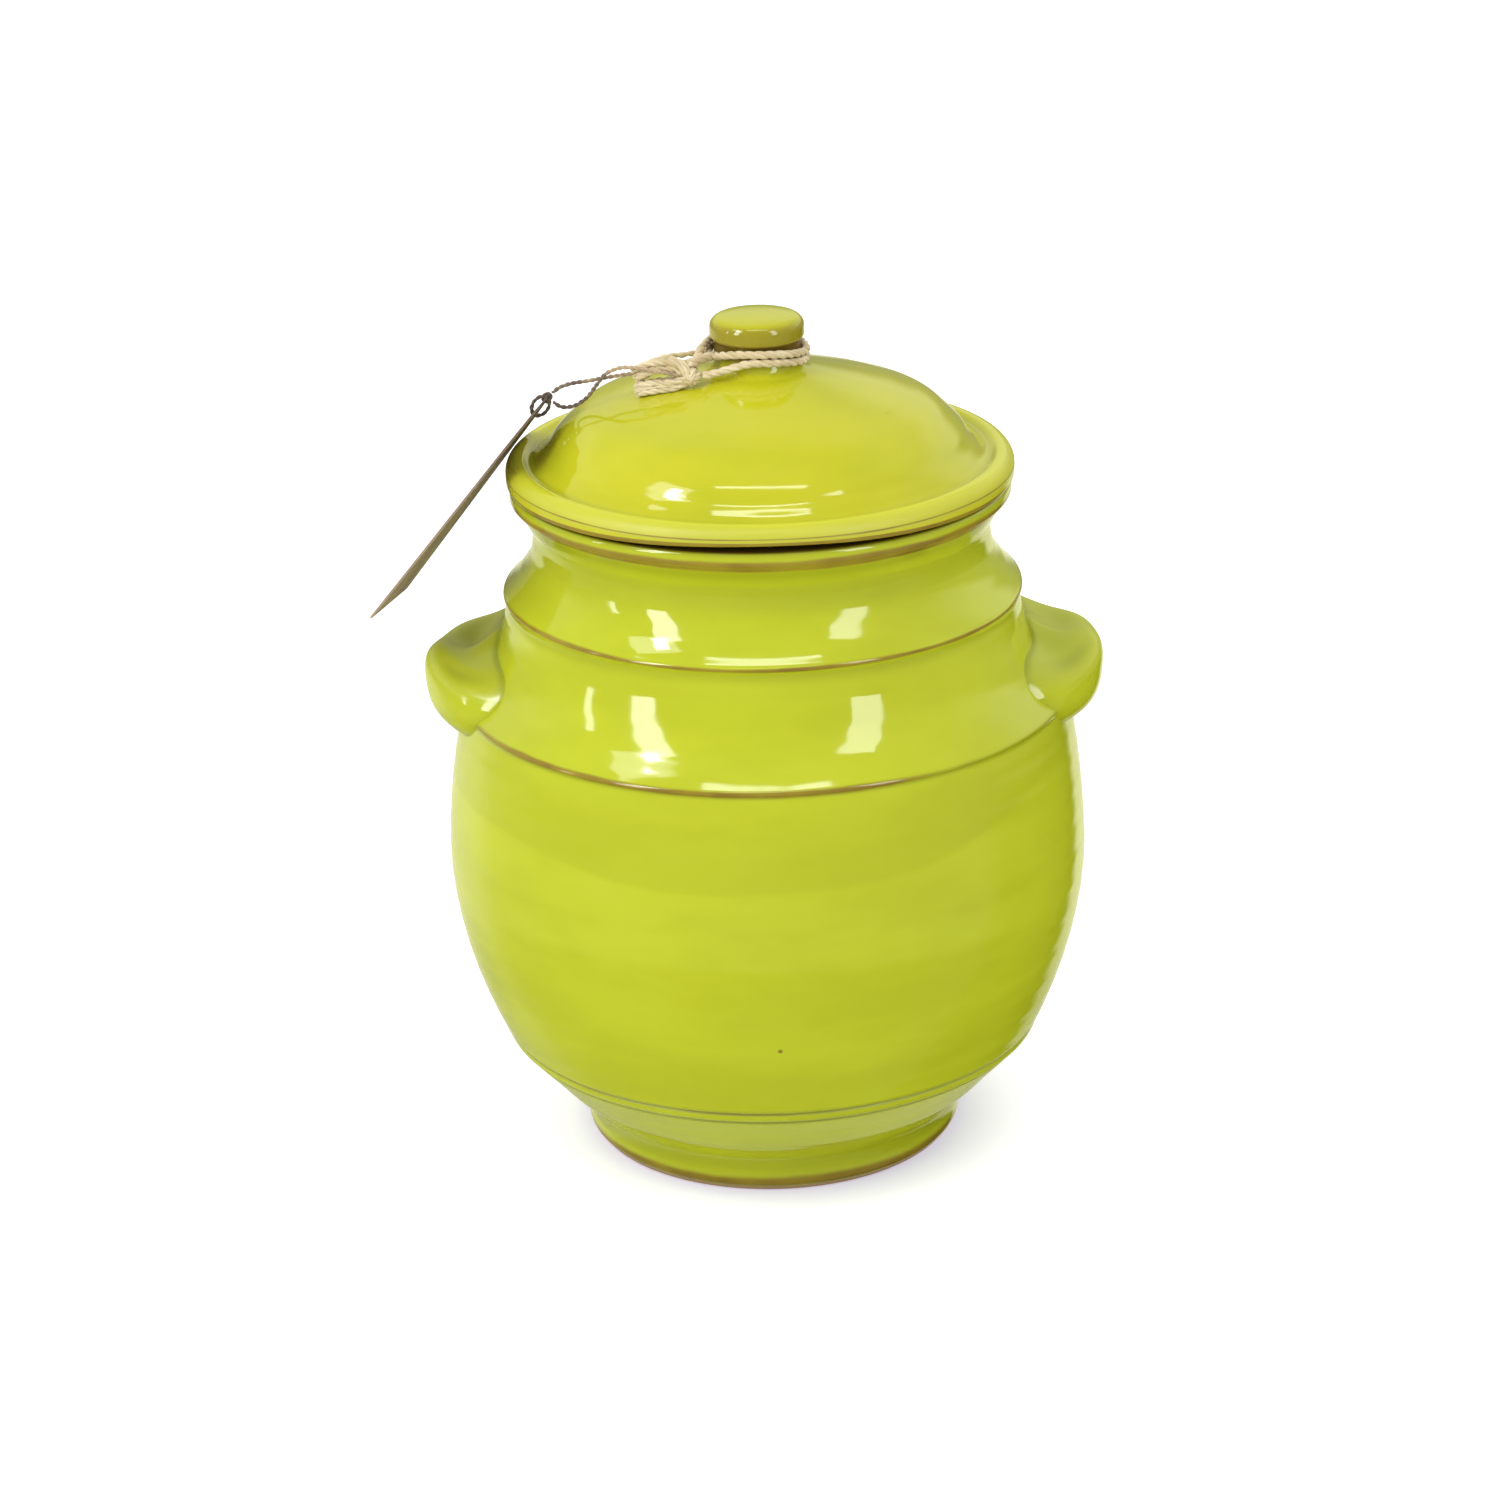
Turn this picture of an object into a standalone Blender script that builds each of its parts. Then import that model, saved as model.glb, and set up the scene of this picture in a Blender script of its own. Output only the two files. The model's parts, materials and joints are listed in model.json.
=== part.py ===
"""A lidded storage jar in glazed earthenware, with two lug handles and a card tag tied to the lid's knob.

Metres, Z up. The origin is the centre of the foot on the table, and the handles stand at -X and +X.
"""

import math

import bmesh
import bpy
import numpy as np
from mathutils import Matrix, Vector

# Clearances
seat_gap = 0.0003
cut_overrun = 0.010
weld_distance = 0.00005

# Jar, radii of the outer wall
foot_radius = 0.0592
cone_radius = 0.0725
low_groove_radius = 0.0860
high_groove_radius = 0.0882
belly_radius = 0.10275
ridge_inset = 0.00575
collar_radius = 0.0823
neck_radius = 0.0722
mouth_radius = 0.0700
rim_width = 0.0090
lip_overhang = 0.0015

# Jar, heights of the turned stretches, from the table up
foot_height = 0.0220
cone_height = 0.0150
groove_spacing = 0.0039
lower_belly_height = 0.0571
upper_belly_height = 0.0534
shoulder_height = 0.0341
lower_neck_height = 0.0195
upper_neck_height = 0.0115
lip_height = 0.0049

# Jar, wall and small turned details
wall = 0.0060
floor_thickness = 0.0080
floor_radius = 0.0520
foot_ring_width = 0.0090
foot_recess_depth = 0.0035
groove_depth = 0.0007
groove_width = 0.0014
ridge_round = 0.0011
collar_overhang = 0.0010
collar_undercut = 0.0025
lip_round = 0.0016

# Lid, heights measured from the rim that it sits on
flange_overhang = 0.0009
flange_edge_height = 0.0035
flange_round = 0.0043
flange_underside_round = 0.0011
dome_height = 0.0336
lid_thickness = 0.0055
ring_clearance = 0.0020
ring_width = 0.0040
ring_depth = 0.0070

# Knob, a turned button on a waisted neck
knob_foot_radius = 0.0190
knob_neck_radius = 0.0136
knob_cap_overhang = 0.0012
knob_flare_height = 0.0046
knob_neck_height = 0.0055
knob_cap_height = 0.0080
knob_crown = 0.0006
knob_top_round = 0.0034
knob_lower_round = 0.0018

# Handles, lugs on the wall at its lower ridge, dished on top and hollowed underneath
lug_stand_off = 0.0118
lug_root_depth = 0.0190
lug_rim_width = 0.0080
lug_height = 0.0260
lug_rise = 0.0046
lug_lean = 0.0025
lug_top_half_chord = 0.0265
lug_bottom_half_chord = 0.0447
left_dish_depth = 0.0090
right_dish_depth = 0.0040
lug_hollow_depth = 0.0030

# Twine round the knob, and its knot on the dome
twine_diameter = 0.0022
twine_pitch = 0.0027
twine_clearance = 0.0006
twine_drop = 0.0002
twine_dip = 0.0022
knot_radius = 0.0030
knot_reach = 0.0248
knot_bearing = 215
front_leg_rise = 8
back_leg_rise = 42
tail_root_diameter = 0.0024
tail_end_diameter = 0.0046

# Tag string, hitch and card tag
string_diameter = 0.0014
hitch_place = Vector((-0.0660, 0, 0.2480))
hitch_radius = 0.0022
hitch_ring_radius = 0.0034
hitch_ring_thickness = 0.0014
tag_length = 0.0825
tag_width = 0.0470
tag_thickness = 0.0007
tag_corner = 0.0100
tag_hole_diameter = 0.0042
tag_bearing = 13

# Counts and angles
jar_sides = 56
lid_sides = 56
knob_sides = 32
lug_rings = 24
lug_face_points = 8
lug_half_turn = 100
loop_points = 24
wrap_turns = 2
sharp_angle = 40
small_sides = 8
hole_sides = 24
quarter_turn = 90
knot_wraps = 3
samples_per_diameter = 4
neighbour_samples = 12

# Shapes of the turned stretches, as shares of each stretch's change of radius and of height
foot_shares = ((0, 0), (0.12, 0.08), (0.17, 0.36), (0.29, 0.55), (0.55, 0.73), (1, 1))
cone_shares = ((0, 0), (0.52, 0.53), (1, 1))
shoulder_shares = ((0, 0), (0.2, 0.1), (0.62, 0.37), (0.92, 0.78), (1, 1))
lower_neck_shares = ((0, 0), (0.21, 0.115), (0.515, 0.32), (0.86, 0.635), (1, 1))
upper_neck_shares = ((0, 0), (0.09, 0.26), (0.53, 0.61), (1, 1))
dome_shares = (
    (0, 0),
    (0.285, 0.15),
    (0.52, 0.29),
    (0.68, 0.42),
    (0.77, 0.57),
    (0.84, 0.71),
    (0.9, 0.86),
    (1, 1),
)
inner_dome_drop_share = 0.71
knob_flare_shares = ((0, 0), (0.12, 0.45), (0.42, 0.78), (1, 1))
belly_fullness = 1.78
lug_squareness_share = 0.7
lug_root_flare_share = 0.25
knot_groove_share = 0.08
climb_start_share = 0.25
climb_length_share = 0.65

# Top and underside of a lug, as shares of its reach from the root and of the depth of its dish or hollow
dish_shares = ((0.86, 0.3), (0.74, 0.8), (0.6, 1), (0.36, 0.95), (0.15, 0.9))
hollow_shares = ((0.15, 1), (0.5, 1), (0.75, 0.7))

# Routes of the twine's two cut tails, measured from the knot's centre
upper_tail_route = (
    (-0.0046, 0.0012, 0.0048),
    (-0.0098, 0.0030, 0.0062),
    (-0.0140, 0.0044, 0.0058),
    (-0.0175, 0.0054, 0.0046),
)
lower_tail_route = (
    (-0.0062, 0.0016, -0.0028),
    (-0.0112, 0.0034, -0.0033),
    (-0.0163, 0.0052, -0.0037),
)

# Routes of the tag's two strings
upper_string_route = (
    (-0.0256, -0.0104, 0.2588),
    (-0.0312, -0.0086, 0.2586),
    (-0.0368, -0.0076, 0.2576),
    (-0.0425, -0.0066, 0.2566),
    (-0.0482, -0.0046, 0.2552),
    (-0.0535, -0.0032, 0.2539),
    (-0.0585, -0.0018, 0.2528),
    (-0.0625, -0.0006, 0.2510),
)
lower_string_route = (
    (-0.0270, -0.0146, 0.2589),
    (-0.0320, -0.0138, 0.2597),
    (-0.0372, -0.0122, 0.2603),
    (-0.0430, -0.0100, 0.2598),
    (-0.0472, -0.0086, 0.2576),
    (-0.0502, -0.0070, 0.2536),
    (-0.0536, -0.0052, 0.2490),
    (-0.0580, -0.0034, 0.2460),
    (-0.0622, -0.0014, 0.2456),
)

# Radii worked out from the others
ridge_radius = belly_radius - ridge_inset
lip_radius = mouth_radius + rim_width
lip_underside_radius = lip_radius - lip_overhang
flange_radius = lip_radius + flange_overhang
knob_cap_radius = knob_neck_radius + knob_cap_overhang
lug_root_radius = ridge_radius - lug_root_depth
lug_reach = ridge_radius + lug_stand_off - lug_rim_width / 2 - lug_root_radius

# Heights worked out from the stretches
cone_top = foot_height + cone_height
belly_foot = cone_top + groove_spacing
belly_middle = belly_foot + lower_belly_height
ridge_middle = belly_middle + upper_belly_height
collar_middle = ridge_middle + shoulder_height
neck_middle = collar_middle + lower_neck_height
lip_underside = neck_middle + upper_neck_height
rim = lip_underside + lip_height
lid_seat = rim + seat_gap
dome_top = lid_seat + dome_height
knob_base = dome_top + seat_gap
neck_base = knob_base + knob_flare_height
cap_base = neck_base + knob_neck_height
knob_top = cap_base + knob_cap_height


# Points, curves and outlines

def arc(centre, radius, start, end, steps):
    """Points round part of a circle in the plane of radius and height, between two angles in degrees."""
    angles = np.radians(np.linspace(start, end, steps + 1))
    return [(centre[0] + radius * math.cos(a), centre[1] + radius * math.sin(a)) for a in angles]


def spread(start, end, shares):
    """Points between start and end, at shares of the change of radius and of the change of height."""
    run = end[0] - start[0]
    rise = end[1] - start[1]
    return [(start[0] + across * run, start[1] + up * rise) for across, up in shares]


def smooth(points, steps):
    """A smooth curve through points of any dimension, with the same number of steps in each span."""
    points = np.array(points, dtype=float)
    spans = np.linalg.norm(np.diff(points, axis=0), axis=1)
    places = np.concatenate([[0], np.cumsum(spans)])
    slopes = np.gradient(points, places, axis=0)
    made = []
    for i, span in enumerate(spans):
        for t in np.arange(steps) / steps:
            near = (1 + 2 * t) * (1 - t) ** 2 * points[i] + t * (1 - t) ** 2 * span * slopes[i]
            far = t * t * (3 - 2 * t) * points[i + 1] + t * t * (t - 1) * span * slopes[i + 1]
            made.append(tuple(near + far))
    return made + [tuple(points[-1])]


def evenly(points, spacing):
    """The same route with points about one spacing apart."""
    points = np.array(points, dtype=float)
    places = np.concatenate([[0], np.cumsum(np.linalg.norm(np.diff(points, axis=0), axis=1))])
    wanted = np.linspace(0, places[-1], max(2, round(places[-1] / spacing) + 1))
    return np.stack([np.interp(wanted, places, points[:, axis]) for axis in range(3)], axis=1)


def grown(outline, distance):
    """An outline that runs down a solid's outer side, moved outwards by a distance."""
    points = np.array(outline)
    along = np.gradient(points, axis=0)
    outwards = np.stack([-along[:, 1], along[:, 0]], axis=1)
    outwards /= np.linalg.norm(outwards, axis=1)[:, None]
    return [tuple(point) for point in points + distance * outwards]


# Objects and materials

def empty(name, place, parent=None):
    frame = bpy.data.objects.new(name, None)
    bpy.context.collection.objects.link(frame)
    frame.parent = parent
    frame.location = place
    return frame


def stand_in_frame(thing, frame):
    """Parents an object that is modelled in world coordinates, and leaves it where it is."""
    thing.parent = frame
    thing.matrix_parent_inverse = frame.matrix_world.inverted()


def added(name, data, material):
    thing = bpy.data.objects.new(name, data)
    bpy.context.collection.objects.link(thing)
    if material is not None:
        thing.data.materials.append(material)
    return thing


def as_cutter(thing):
    thing.hide_render = True
    thing.display_type = "WIRE"


def settle(thing):
    """Works the modifiers into the mesh and shades it smooth, with its true edges left sharp."""
    bpy.context.view_layer.update()
    graph = bpy.context.evaluated_depsgraph_get()
    mesh = bpy.data.meshes.new_from_object(thing.evaluated_get(graph))
    thing.modifiers.clear()
    thing.data = mesh
    mesh.shade_smooth()
    mesh.set_sharp_from_angle(angle=math.radians(sharp_angle))


def combine(thing, other, operation):
    """Cuts the other solid from this one, or joins it on, and keeps the other as a hidden guide."""
    boolean = thing.modifiers.new(operation.lower(), "BOOLEAN")
    boolean.operation = operation
    boolean.object = other
    as_cutter(other)


def turned(name, outline, sides, material):
    """A solid of revolution: the outline leaves the axis, runs down the outer side and comes back to it."""
    mesh = bpy.data.meshes.new(name)
    points = [(radius, 0, height) for radius, height in outline]
    mesh.from_pydata(points, [(i, i + 1) for i in range(len(points) - 1)], [])
    thing = added(name, mesh, material)
    screw = thing.modifiers.new("turn", "SCREW")
    screw.steps = sides
    screw.render_steps = sides
    screw.use_merge_vertices = True
    screw.merge_threshold = weld_distance
    settle(thing)
    return thing


def cord(name, points, radius, resolution, material, widths=None):
    """A round cord with filled ends. Widths, where given, are each point's share of the radius."""
    curve = bpy.data.curves.new(name, "CURVE")
    curve.dimensions = "3D"
    curve.bevel_depth = radius
    curve.bevel_resolution = resolution
    curve.use_fill_caps = True
    line = curve.splines.new("POLY")
    line.points.add(len(points) - 1)
    for i, place in enumerate(points):
        line.points[i].co = (*place, 1)
        line.points[i].radius = 1 if widths is None else widths[i]
    line.use_smooth = True
    return added(name, curve, material)


def finish(name, colour, roughness):
    material = bpy.data.materials.new(name)
    material.use_nodes = True
    shader = material.node_tree.nodes["Principled BSDF"]
    shader.inputs["Base Color"].default_value = (*colour, 1)
    shader.inputs["Roughness"].default_value = roughness
    shader.inputs["Metallic"].default_value = 0
    return material


# Jar body

def groove(radius, height, slope):
    """One incised line on a sloping wall, from its lower edge to its upper edge."""
    half = groove_width / 2
    return [
        (radius - slope * half, height - half),
        (radius - groove_depth, height),
        (radius + slope * half, height + half),
    ]


def swell(start, end, steps, fullness):
    """A belly curve that leaves the start freely and arrives upright at the widest point."""
    shares = [(1 - (1 - t) ** fullness, t) for t in np.linspace(0, 1, steps + 1)]
    return spread(start, end, shares)


def outer_wall():
    """The jar's outer side from the lip's underside down to the table."""
    cone_slope = (low_groove_radius - cone_radius) / cone_height
    bead_slope = (high_groove_radius - low_groove_radius) / groove_spacing
    foot = smooth(spread((foot_radius, 0), (cone_radius, foot_height), foot_shares), 1)
    cone = spread((cone_radius, foot_height), (low_groove_radius, cone_top), cone_shares)
    low_groove = groove(low_groove_radius, cone_top, cone_slope)
    high_groove = groove(high_groove_radius, belly_foot, bead_slope)
    widest = (belly_radius, belly_middle)
    lower_belly = swell(high_groove[-1], widest, 8, belly_fullness)
    ridge = arc((ridge_radius - ridge_round, ridge_middle), ridge_round, -50, 60, 2)
    upper_belly = swell(ridge[0], widest, 6, belly_fullness)[::-1]
    collar = arc((collar_radius - ridge_round, collar_middle), ridge_round, -60, 70, 2)
    shoulder_top = (collar_radius - collar_overhang, collar_middle - collar_undercut)
    shoulder = smooth(spread(ridge[-1], shoulder_top, shoulder_shares), 2)
    waist = (neck_radius, neck_middle)
    lower_neck = smooth(spread(collar[-1], waist, lower_neck_shares), 2)
    upper_neck = smooth(spread(waist, (lip_underside_radius, lip_underside), upper_neck_shares), 1)
    upwards = foot + cone[1:-1] + low_groove + high_groove + lower_belly[1:] + upper_belly[1:]
    upwards += ridge[1:] + shoulder[1:] + collar + lower_neck[1:] + upper_neck[1:]
    return upwards[::-1]


def lip():
    """The lip from the mouth's wall, over the rim, to its underside."""
    top = rim - lip_round
    inner = arc((mouth_radius + lip_round, top), lip_round, 180, 90, 2)
    outer = arc((lip_radius - lip_round, top), lip_round, 90, 0, 2)
    lower = arc((lip_radius - ridge_round, lip_underside + ridge_round), ridge_round, 0, -60, 2)
    return inner + outer + lower


def inner_wall():
    """The hollow from the middle of the floor up to the mouth, one wall inside the outer side."""
    floor = foot_recess_depth + floor_thickness
    shoulder_middle = (ridge_middle + collar_middle) / 2
    shoulder_radius = (ridge_radius + collar_radius + neck_radius) / 3
    keys = (
        (floor_radius, floor),
        (cone_radius - wall, foot_height + wall),
        (high_groove_radius - wall, belly_foot + wall),
        (belly_radius - wall, belly_middle),
        (ridge_radius - wall, ridge_middle),
        (shoulder_radius - wall / 2, shoulder_middle),
        (collar_radius - wall, collar_middle),
        (neck_radius - wall, neck_middle),
        (mouth_radius, lip_underside),
    )
    return [(0, floor)] + smooth(keys, 2)


def make_jar(glaze):
    ring_inner_radius = foot_radius - foot_ring_width
    underside = [
        (ring_inner_radius, 0),
        (ring_inner_radius, foot_recess_depth),
        (0, foot_recess_depth),
    ]
    return turned("jar_body", inner_wall() + lip() + outer_wall() + underside, jar_sides, glaze)


# Handles

def rounded_share(value):
    """A circle's coordinate pressed towards a rounded square."""
    return math.copysign(abs(value) ** lug_squareness_share, value)


def lug_point(turn, reach_share, across, up_share, rise):
    """A point of a lug, from its angle in plan and its shares of the way out and of the half height."""
    flare = 1 + lug_root_flare_share * (turn / math.radians(quarter_turn)) ** 4
    mix = (1 - up_share) / 2
    half_chord = lug_top_half_chord + mix * (lug_bottom_half_chord - lug_top_half_chord)
    outwards = (lug_reach - mix * lug_lean) * reach_share
    return (
        lug_root_radius + (outwards + across * flare) * math.cos(turn),
        (half_chord * reach_share + across * flare) * math.sin(turn),
        ridge_middle + lug_rise + up_share * lug_height / 2 * flare + rise,
    )


def lug_section(turn, dish_depth):
    """A lug's section at an angle in plan: up the outer face, in over the dish, out under the hollow."""
    quarter = math.radians(quarter_turn)
    made = []
    for around in np.linspace(-quarter, quarter, lug_face_points):
        across = rounded_share(math.cos(around)) * lug_rim_width / 2
        made.append(lug_point(turn, 1, across, rounded_share(math.sin(around)), 0))
    for reach_share, depth_share in dish_shares:
        made.append(lug_point(turn, reach_share, 0, 1, -depth_share * dish_depth))
    for reach_share, depth_share in hollow_shares:
        made.append(lug_point(turn, reach_share, 0, -1, depth_share * lug_hollow_depth))
    return made


def lug_mesh(name, dish_depth):
    """Sections set round a half ellipse in plan, whose chord widens towards the bottom."""
    shape = bmesh.new()
    half_turn = math.radians(lug_half_turn)
    rings = []
    for turn in np.linspace(-half_turn, half_turn, lug_rings + 1):
        rings.append([shape.verts.new(point) for point in lug_section(turn, dish_depth)])
    for ring, after in zip(rings, rings[1:]):
        for i in range(len(ring)):
            following = (i + 1) % len(ring)
            shape.faces.new((ring[i], ring[following], after[following], after[i]))
    shape.faces.new(rings[0])
    shape.faces.new(rings[-1])
    bmesh.ops.recalc_face_normals(shape, faces=shape.faces)
    mesh = bpy.data.meshes.new(name)
    shape.to_mesh(mesh)
    shape.free()
    return mesh


def make_handles(glaze):
    """Two lugs, cut where they meet the wall so that each seats against it."""
    low = ridge_middle - lug_height - cut_overrun
    high = ridge_middle + lug_height + cut_overrun
    side = [point for point in grown(outer_wall(), seat_gap) if low < point[1] < high]
    outline = [(0, side[0][1])] + side + [(0, side[-1][1])]
    cutter = turned("wall_cutter", outline, jar_sides, None)
    lugs = (("handle_left", math.pi, left_dish_depth), ("handle_right", 0, right_dish_depth))
    for name, bearing, dish_depth in lugs:
        lug = added(name, lug_mesh(name, dish_depth), glaze)
        lug.rotation_euler = (0, 0, bearing)
        combine(lug, cutter, "DIFFERENCE")
        settle(lug)


# Lid and knob

def flange_roll():
    """The rolled edge of the lid, from its crease with the dome out to the underside."""
    middle = (flange_radius - flange_round, lid_seat + flange_edge_height)
    corner = (flange_radius - flange_underside_round, lid_seat + flange_underside_round)
    return arc(middle, flange_round, 135, 0, 5) + arc(corner, flange_underside_round, 0, -90, 2)


def dome_outline():
    """The dome from the edge of the knob's seat down to the crease."""
    start = (knob_foot_radius + ridge_round, dome_top)
    return smooth(spread(start, flange_roll()[0], dome_shares), 2)


def dome_height_at(radius):
    """The height of the dome's outer side at a distance from the axis."""
    points = np.array([(0, dome_top)] + dome_outline())
    return float(np.interp(radius, points[:, 0], points[:, 1]))


def make_lid(glaze):
    """The lid with its hollow dome, and the ring under it that keeps it in the mouth."""
    ring_outer = mouth_radius - ring_clearance
    ring_inner = ring_outer - ring_width
    ring_foot = lid_seat - ring_depth
    ceiling = dome_top - lid_thickness
    springing = ceiling - inner_dome_drop_share * dome_height
    ring = [(ring_outer, lid_seat), (ring_outer, ring_foot), (ring_inner, ring_foot)]
    hollow = spread((knob_foot_radius, ceiling), (ring_inner, springing), dome_shares)[::-1]
    outline = [(0, dome_top)] + dome_outline() + flange_roll()[1:] + ring + hollow + [(0, ceiling)]
    return turned("lid", outline, lid_sides, glaze)


def make_knob(glaze):
    """The knob: a low flared foot, a waisted neck and an overhanging cap with a slight crown."""
    crown = [(0, knob_top), (knob_cap_radius - knob_top_round, knob_top - knob_crown)]
    top_middle = (knob_cap_radius - knob_top_round, knob_top - knob_crown - knob_top_round)
    low_middle = (knob_cap_radius - knob_lower_round, cap_base + knob_lower_round)
    undercut = math.degrees(math.acos(1 - knob_cap_overhang / knob_lower_round))
    cap = arc(top_middle, knob_top_round, 90, 0, 4) + arc(low_middle, knob_lower_round, 0, -undercut, 3)
    flare_start = (knob_neck_radius, neck_base)
    flare = smooth(spread(flare_start, (knob_foot_radius, knob_base), knob_flare_shares), 2)
    return turned("knob", crown + cap[1:] + flare + [(0, knob_base)], knob_sides, glaze)


# Twine tie

def knot_centre():
    """The knot rests on the dome, beside the knob."""
    bearing = math.radians(knot_bearing)
    height = dome_height_at(knot_reach) + knot_radius + 2 * seat_gap
    return Vector((knot_reach * math.cos(bearing), knot_reach * math.sin(bearing), height))


def wrap_radius():
    return knob_neck_radius + twine_clearance + twine_diameter / 2


def leg(knot, bearing, height, way, rise):
    """One leg of the tie, from the knot at a rise in degrees to the winding, whose way round is -1 or 1."""
    radius = wrap_radius()
    touch = Vector((radius * math.cos(bearing), radius * math.sin(bearing), height))
    level = Vector((touch.x - knot.x, touch.y - knot.y, 0)).normalized()
    straight = level * math.cos(math.radians(rise)) + Vector((0, 0, math.sin(math.radians(rise))))
    end = knot + straight * (knot_radius + seat_gap)
    inner_end = end + straight * twine_diameter
    run = (touch - inner_end).length / 3
    tangent = Vector((-math.sin(bearing), math.cos(bearing), 0)) * way
    first = inner_end + straight * run
    second = touch - tangent * run
    points = [end]
    for t in np.linspace(0, 1, 7)[:-1]:
        near = inner_end * (1 - t) ** 3 + first * 3 * t * (1 - t) ** 2
        points.append(near + second * 3 * t * t * (1 - t) + touch * t ** 3)
    return [tuple(point) for point in points]


def wrap_route(knot):
    """The winding as one line: from the knot, round the neck with one climb and a dip at +X, and back."""
    radius = wrap_radius()
    away = math.atan2(knot.y, knot.x)
    spread_angle = math.acos(radius / math.hypot(knot.x, knot.y))
    start = away + spread_angle
    end = away - spread_angle + wrap_turns * 2 * math.pi
    upper = cap_base - twine_diameter / 2 - twine_drop
    lower = upper - twine_pitch
    low_end = away - spread_angle + 2 * math.pi
    high_start = away + spread_angle + 2 * math.pi
    count = round(loop_points * (end - start) / (2 * math.pi))
    ring = []
    for bearing in np.linspace(start, end, count + 1):
        share = ((bearing - low_end) / (high_start - low_end) - climb_start_share) / climb_length_share
        climbed = min(1, max(0, share))
        climb = twine_pitch * climbed * climbed * (3 - 2 * climbed)
        dip = twine_dip * max(0, math.cos(bearing)) ** 2
        ring.append((radius * math.cos(bearing), radius * math.sin(bearing), lower + climb - dip))
    front = leg(knot, start, lower, 1, front_leg_rise)
    back = leg(knot, end, upper, -1, back_leg_rise)
    return front + ring + back[::-1]


def least_gap(points, diameter):
    """The least gap between stretches of one tube that are not neighbours."""
    points = evenly(points, diameter / samples_per_diameter)
    between = np.linalg.norm(points[:, None] - points[None], axis=2)
    order = np.arange(len(points))
    apart = np.abs(order[:, None] - order[None]) > neighbour_samples
    return float(between[apart].min()) - diameter


def knot_outline():
    """A ball with the soft swellings of its wraps, as points from its top down its outer side."""
    shares = []
    for angle in np.linspace(math.pi / 2, -math.pi / 2, 4 * knot_wraps + 1):
        swelling = 1 - knot_groove_share * (1 - math.cos(2 * knot_wraps * angle)) / 2
        shares.append((max(0, math.cos(angle)) * swelling, math.sin(angle)))
    shares[0] = (0, 1)
    shares[-1] = (0, -1)
    return [(knot_radius * across, knot_radius * up) for across, up in shares]


def make_tie(twine, frame):
    """The twine: its winding, its knot, and two cut tails that flare where their strands open."""
    knot = knot_centre()
    route = wrap_route(knot)
    print(f"least gap of the winding to itself: {least_gap(route, twine_diameter) * 1000:.2f} mm")
    made = [cord("tie_wrap", route, twine_diameter / 2, 1, twine)]
    ball = turned("tie_knot", knot_outline(), 2 * small_sides, twine)
    ball.matrix_world = Matrix.Translation(knot) @ Matrix.Rotation(math.radians(quarter_turn), 4, "Y")
    made.append(ball)
    for name, offsets in (("tie_tail_upper", upper_tail_route), ("tie_tail_lower", lower_tail_route)):
        route = free_route(knot, knot_radius, [knot + Vector(offset) for offset in offsets])
        points = evenly(smooth(route, 6), tail_root_diameter)
        widths = np.linspace(1, tail_end_diameter / tail_root_diameter, len(points))
        made.append(cord(name, points, tail_root_diameter / 2, 2, twine, widths))
    for thing in made:
        stand_in_frame(thing, frame)


def free_route(ball, ball_radius, places):
    """A route that leaves a ball square to its surface, heading for the first of its places."""
    heading = (places[0] - ball).normalized()
    return [tuple(ball + heading * (ball_radius + seat_gap))] + [tuple(place) for place in places]


def make_strings(thread, frame):
    """The two runs of the tag's string, from the knot to the hitch."""
    knot = knot_centre()
    runs = (("tag_string_upper", upper_string_route), ("tag_string_lower", lower_string_route))
    for name, places in runs:
        places = [Vector(place) for place in places]
        heading = (places[-1] - hitch_place).normalized()
        end = hitch_place + heading * (hitch_radius + seat_gap)
        route = free_route(knot, knot_radius, places) + [tuple(end)]
        points = evenly(smooth(route, 8), 2.5 * string_diameter)
        stand_in_frame(cord(name, points, string_diameter / 2, 2, thread), frame)


# Tag

def tag_lean():
    """The elevation of the tag's outer face, for which its back rests on the lid's rolled edge."""
    bearing = math.radians(tag_bearing)
    roll_middle = flange_radius - flange_round
    across = -hitch_place.x * math.cos(bearing) - roll_middle
    above = hitch_place.z - lid_seat - flange_edge_height
    stand_off = flange_round + seat_gap + tag_thickness / 2
    return math.atan2(above, across) - math.acos(stand_off / math.hypot(across, above))


def tag_axes():
    """Unit vectors along the tag, along its width and out of its face, as the columns of a matrix."""
    bearing = math.radians(tag_bearing)
    lean = tag_lean()
    level = Vector((-math.cos(bearing), math.sin(bearing), 0))
    outwards = level * math.cos(lean) + Vector((0, 0, math.sin(lean)))
    along = Vector((-outwards.z, 0, outwards.x)).normalized()
    return Matrix((along, outwards.cross(along), outwards)).transposed()


def make_tag(card, thread):
    """The card and its hitch, modelled along X from the hitch and hung on the hitch's centre."""
    frame = empty("tag_hinge", hitch_place)
    frame.rotation_euler = tag_axes().to_euler()
    near = hitch_radius + seat_gap
    far = near + tag_length
    half = tag_width / 2
    corners = (
        (near, half - tag_corner),
        (near + tag_corner, half),
        (far, half),
        (far, -half),
        (near + tag_corner, -half),
        (near, tag_corner - half),
    )
    mesh = bpy.data.meshes.new("tag")
    mesh.from_pydata([(x, y, 0) for x, y in corners], [], [tuple(range(len(corners)))[::-1]])
    tag = added("tag", mesh, card)
    solid = tag.modifiers.new("thickness", "SOLIDIFY")
    solid.thickness = tag_thickness
    solid.offset = 0
    hole = added("tag_hole", hole_mesh(), None)
    combine(tag, hole, "DIFFERENCE")
    hitch = added("tag_hitch", ring_mesh(), thread)
    ball = turned("hitch_ball", ball_outline(hitch_radius), small_sides, None)
    combine(hitch, ball, "UNION")
    for thing in (tag, hole, hitch, ball):
        thing.parent = frame
    settle(hitch)
    settle(tag)


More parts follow.
